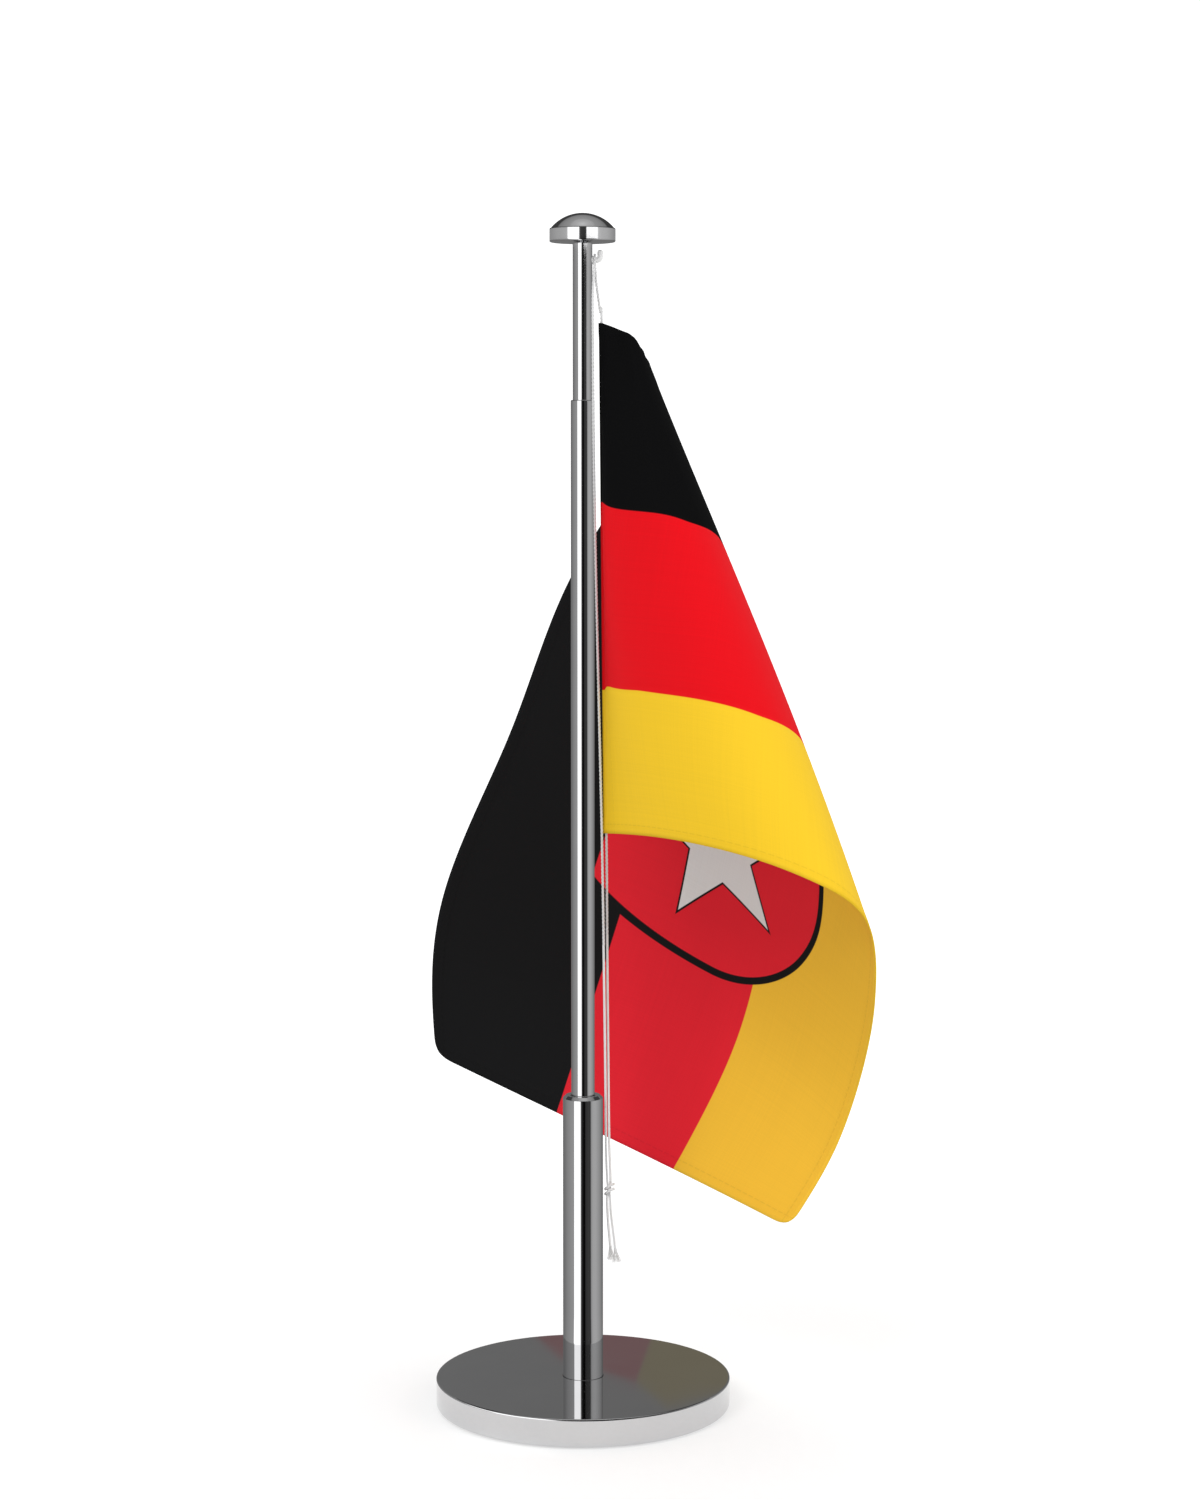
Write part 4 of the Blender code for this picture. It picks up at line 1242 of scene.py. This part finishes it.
white_nylon = quiet_finish("white_nylon", (0.88, 0.88, 0.88), (0.96, 0.96, 0.955), (900.0, 2.0),
                           9000.0, (0.35, 0.12), (0.15, 0.006), Specular_IOR_Level=0.35)
natural_nylon = quiet_finish("natural_nylon", (0.70, 0.68, 0.60), (0.84, 0.83, 0.78), (240.0, 3.0),
                             4200.0, (0.38, 0.12), (0.2, 0.01),
                             Subsurface_Weight=0.15, Subsurface_Scale=0.001)
zinc = quiet_finish("zinc_plate", (0.42, 0.43, 0.45), (0.60, 0.61, 0.64), (420.0, 3.0),
                    2600.0, (0.28, 0.15), (0.3, 0.01), rings=True, Metallic=1.0)
brass = quiet_finish("turned_brass", (0.62, 0.42, 0.16), (0.80, 0.60, 0.29), (420.0, 3.0),
                     3600.0, (0.20, 0.15), (0.3, 0.01), rings=True, Metallic=1.0)
dress(white_nylon, hook, collar)
for material, nodes in (
    (zinc, ("base_screw", "base_washer", "column_foot_plug", "cap_stud")),
    (brass, ("mast_foot_spindle", "top_friction_sleeve", "top_spindle", "cap_insert")),
    (natural_nylon, ("guide_bush", "mast_foot_sleeve")),
):
    dress(material, *(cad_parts[node] for node in nodes))

# %% [markdown]
# ## The studio
#
# The floor is pale and runs up into a round wall far away, so every view has the same plain
# ground. Its glow is painted light, as of a lit paper sweep, weaker round the stand so that a
# soft shadow can show; the glow does not light the stand: three large soft lights alone shape
# the cloth.

# %% Floor
def spun_sheet(name, outline, sides):
    """A thin surface of revolution, for the floor and the tent."""
    points = [(r, 0.0, z) for r, z in outline]
    piece = welded(spin_outline(points, sides, closed=False), name)
    return piece


FLOOR_RADIUS = 2.6
WALL_CURVE = 0.9
WALL_HEIGHT = 3.2
CURVE_STEPS = 12
outline = [(0.0, 0.0)]
for step in range(CURVE_STEPS + 1):
    lean = math.radians(90.0 * step / CURVE_STEPS)
    outline.append((FLOOR_RADIUS - WALL_CURVE * (1.0 - math.sin(lean)), WALL_CURVE * (1.0 - math.cos(lean))))
outline.append((FLOOR_RADIUS, WALL_HEIGHT))
floor = spun_sheet("studio_floor", outline, 96)
floor.visible_diffuse = False


def paper_finish():
    """Pale paper with a painted glow, a little weaker round the stand, so a soft shadow can show."""
    material, feed, place = new_finish("studio_paper", Roughness=0.9, Specular_IOR_Level=0.0,
                                       Emission_Strength=1.0)
    # Painted glow: dimmer near the stand, brighter further out.
    near = place.from_axis().below(0.26, 0.30)
    grain = place.noise(300.0, detail=3.0)
    feed(Base_Color=grain.mix((0.47, 0.47, 0.47), (0.53, 0.53, 0.53)),
         Emission_Color=near.mix((0.82, 0.82, 0.82), (0.52, 0.52, 0.52)))
    return material


dress(paper_finish(), floor)


# %% Lights
def soft_light(name, place, aim, size, power):
    """A square light that faces a point; power in watts."""
    data = bpy.data.lights.new(name, "AREA")
    data.shape = "SQUARE"
    data.size = size
    data.energy = power
    light = add_object(name, data)
    light.location = place
    light.rotation_euler = (Vector(aim) - Vector(place)).to_track_quat("-Z", "Y").to_euler()
    print(name, power, "W")


soft_light("key_light", (-0.75, -1.15, 1.35), (0.02, 0.0, 0.2), 0.7, 8.5)
soft_light("fill_light", (1.3, -0.9, 0.7), (0.02, 0.0, 0.2), 1.0, 6.0)
soft_light("top_light", (0.1, 0.5, 1.7), (0.0, 0.0, 0.1), 1.0, 5.0)
world = bpy.data.worlds.new("studio_world")
world.use_nodes = True
sky = world.node_tree.nodes["Background"].inputs
sky["Color"].default_value = (1.0, 1.0, 1.0, 1.0)
sky["Strength"].default_value = 0.73
bpy.context.scene.world = world
bpy.context.scene.view_settings.view_transform = "Standard"

# %% [markdown]
# ## What the chrome reflects
#
# Chrome only shows what stands round it. A small round tent of grey, white and black cards
# stands close by and is seen in reflections only, not by the camera and not by the cloth.
# Going round the mast, its cards are: grey behind, a white panel in front on the left, a
# black one towards the viewer, dark grey beside it, and pale grey on the right. That order
# makes the upright bands on the tubes. On the back card hang a dull red and a dull gold
# patch, which the polished base picks up: a painted reflection of the cloth. They stand in
# for the cloth, so the flag, the cord and the hook are left out of the reflections.

# %% Cards
TENT_RADIUS = 0.6
TENT_LIFT = 0.0005
TENT_GAP = 0.0720  # clear floor left round the base
TENT_SHELF = 0.0446  # a shelf level with the base hides that floor from the mast
CAP_LEVEL = 0.3895  # the cap's rim sees the cards above this height
DOME_LEVEL = 0.401  # the cap's dome sees the cards above this one
TENT_GLOW = 1.9  # brightness of the white panels
# Degrees round the mast from the viewer, positive to the right, and brightness.
CARDS = (
    (-180, 0.175), (-130, 0.23), (-100, 0.34), (-60, 0.44), (-53, 0.40), (-49, 1.9), (-15, 1.9),
    (-11, 0.18), (-7, 0.05), (0, 0.01), (11, 0.0), (16, 0.045), (36, 0.062), (43, 0.04),
    (49, 0.43), (60, 0.55), (77, 0.56), (106, 0.43), (130, 0.30), (152, 0.165), (180, 0.175),
)
UPPER_CARDS = (
    (-180, 0.30), (-141, 0.40), (-104, 0.53), (-74, 0.59), (-55, 0.68), (-51, 1.9), (-12, 1.9),
    (-10, 0.20), (-6, 0.07), (8, 0.055), (13, 0.10), (15, 1.9), (53, 1.9), (57, 0.78),
    (70, 0.68), (94, 0.63), (143, 0.38), (180, 0.30),
)
# Metres above the dome level, and brightness.
CEILING = (
    (0.0, 0.06), (0.42, 0.06), (0.50, 0.27), (0.66, 0.33), (0.86, 0.42), (0.95, 0.60), (1.0, 0.80),
)
# Painted reflections of the red and gold cloth, hung on the back card.
RED_CLOTH_REFLECTION = (0.20, 0.121, 0.124)
GOLD_CLOTH_REFLECTION = (0.192, 0.172, 0.123)
tent = spun_sheet("reflection_tent", [
    (TENT_SHELF, base_top), (TENT_GAP, base_top), (TENT_GAP, TENT_LIFT),
    (TENT_RADIUS, TENT_LIFT), (TENT_RADIUS, 1.1), (0.35, 1.32), (0.0, 1.4),
], 128)
print("tent with", len(CARDS) + len(UPPER_CARDS) + len(CEILING), "stops of grey")


# %% Reflection tent
def greys(place, stops):
    """Card greys read off a ramp at a place from 0 to 1."""
    stops = [(stop, shade / TENT_GLOW) for stop, shade in stops]
    return place.node("ValToRGB", {0: place}, stops=stops)


def round_mast(cards):
    """Ramp stops for cards given in degrees; the ramp starts and ends behind the mast."""
    return [((angle + 180) / 360.0, shade) for angle, shade in cards]


def tent_finish():
    material = bpy.data.materials.new("reflection_cards")
    material.use_nodes = True
    material.node_tree.nodes.clear()
    place = Wire(material.node_tree).node("TexCoord", out="Object")
    x, y, z = place.parts()
    turn = place.math("ARCTAN2", x, y * -1.0) / math.tau + 0.5
    # Each patch, a painted reflection of the cloth, is cut by slanting lines, in millimetres to the right
    # and up the back card.
    right = x * 1000.0
    up = z * 1000.0
    behind = place.math("GREATER_THAN", y, 0.5)
    left_of_seam = (right + up * 0.348 - 89.8).below(0.0, 1.0)
    under_red = (up - right * 0.344 - 184.1).below(0.0, 1.0) * (up - right * 0.923 - 193.0).below(0.0, 1.0)
    under_gold = (up - right * 0.75 - 174.75).below(0.0, 1.5) * (up + right * 0.296 - 215.5).below(0.0, 1.5)
    red = behind * under_red * left_of_seam
    gold = behind * under_gold * (1.0 - left_of_seam) * right.below(95.0, 6.0)
    low = red.mix(greys(turn, round_mast(CARDS)), [part / TENT_GLOW for part in RED_CLOTH_REFLECTION])
    low = gold.mix(low, [part / TENT_GLOW for part in GOLD_CLOTH_REFLECTION])
    shades = z.below(CAP_LEVEL, 0.001).mix(greys(turn, round_mast(UPPER_CARDS)), low)
    shades = z.below(DOME_LEVEL, 0.002).mix(greys(z - DOME_LEVEL, CEILING), shades)
    glow = place.node("Emission", {"Color": shades, "Strength": TENT_GLOW})
    place.node("OutputMaterial", {"Surface": glow}, out=None)
    return material


dress(tent_finish(), tent)
for kind in ("camera", "diffuse", "shadow", "transmission"):
    setattr(tent, "visible_" + kind, False)
for piece in (flag, free_cord, hem_cord, knot, long_brush, short_brush, hook, collar):
    piece.visible_glossy = False
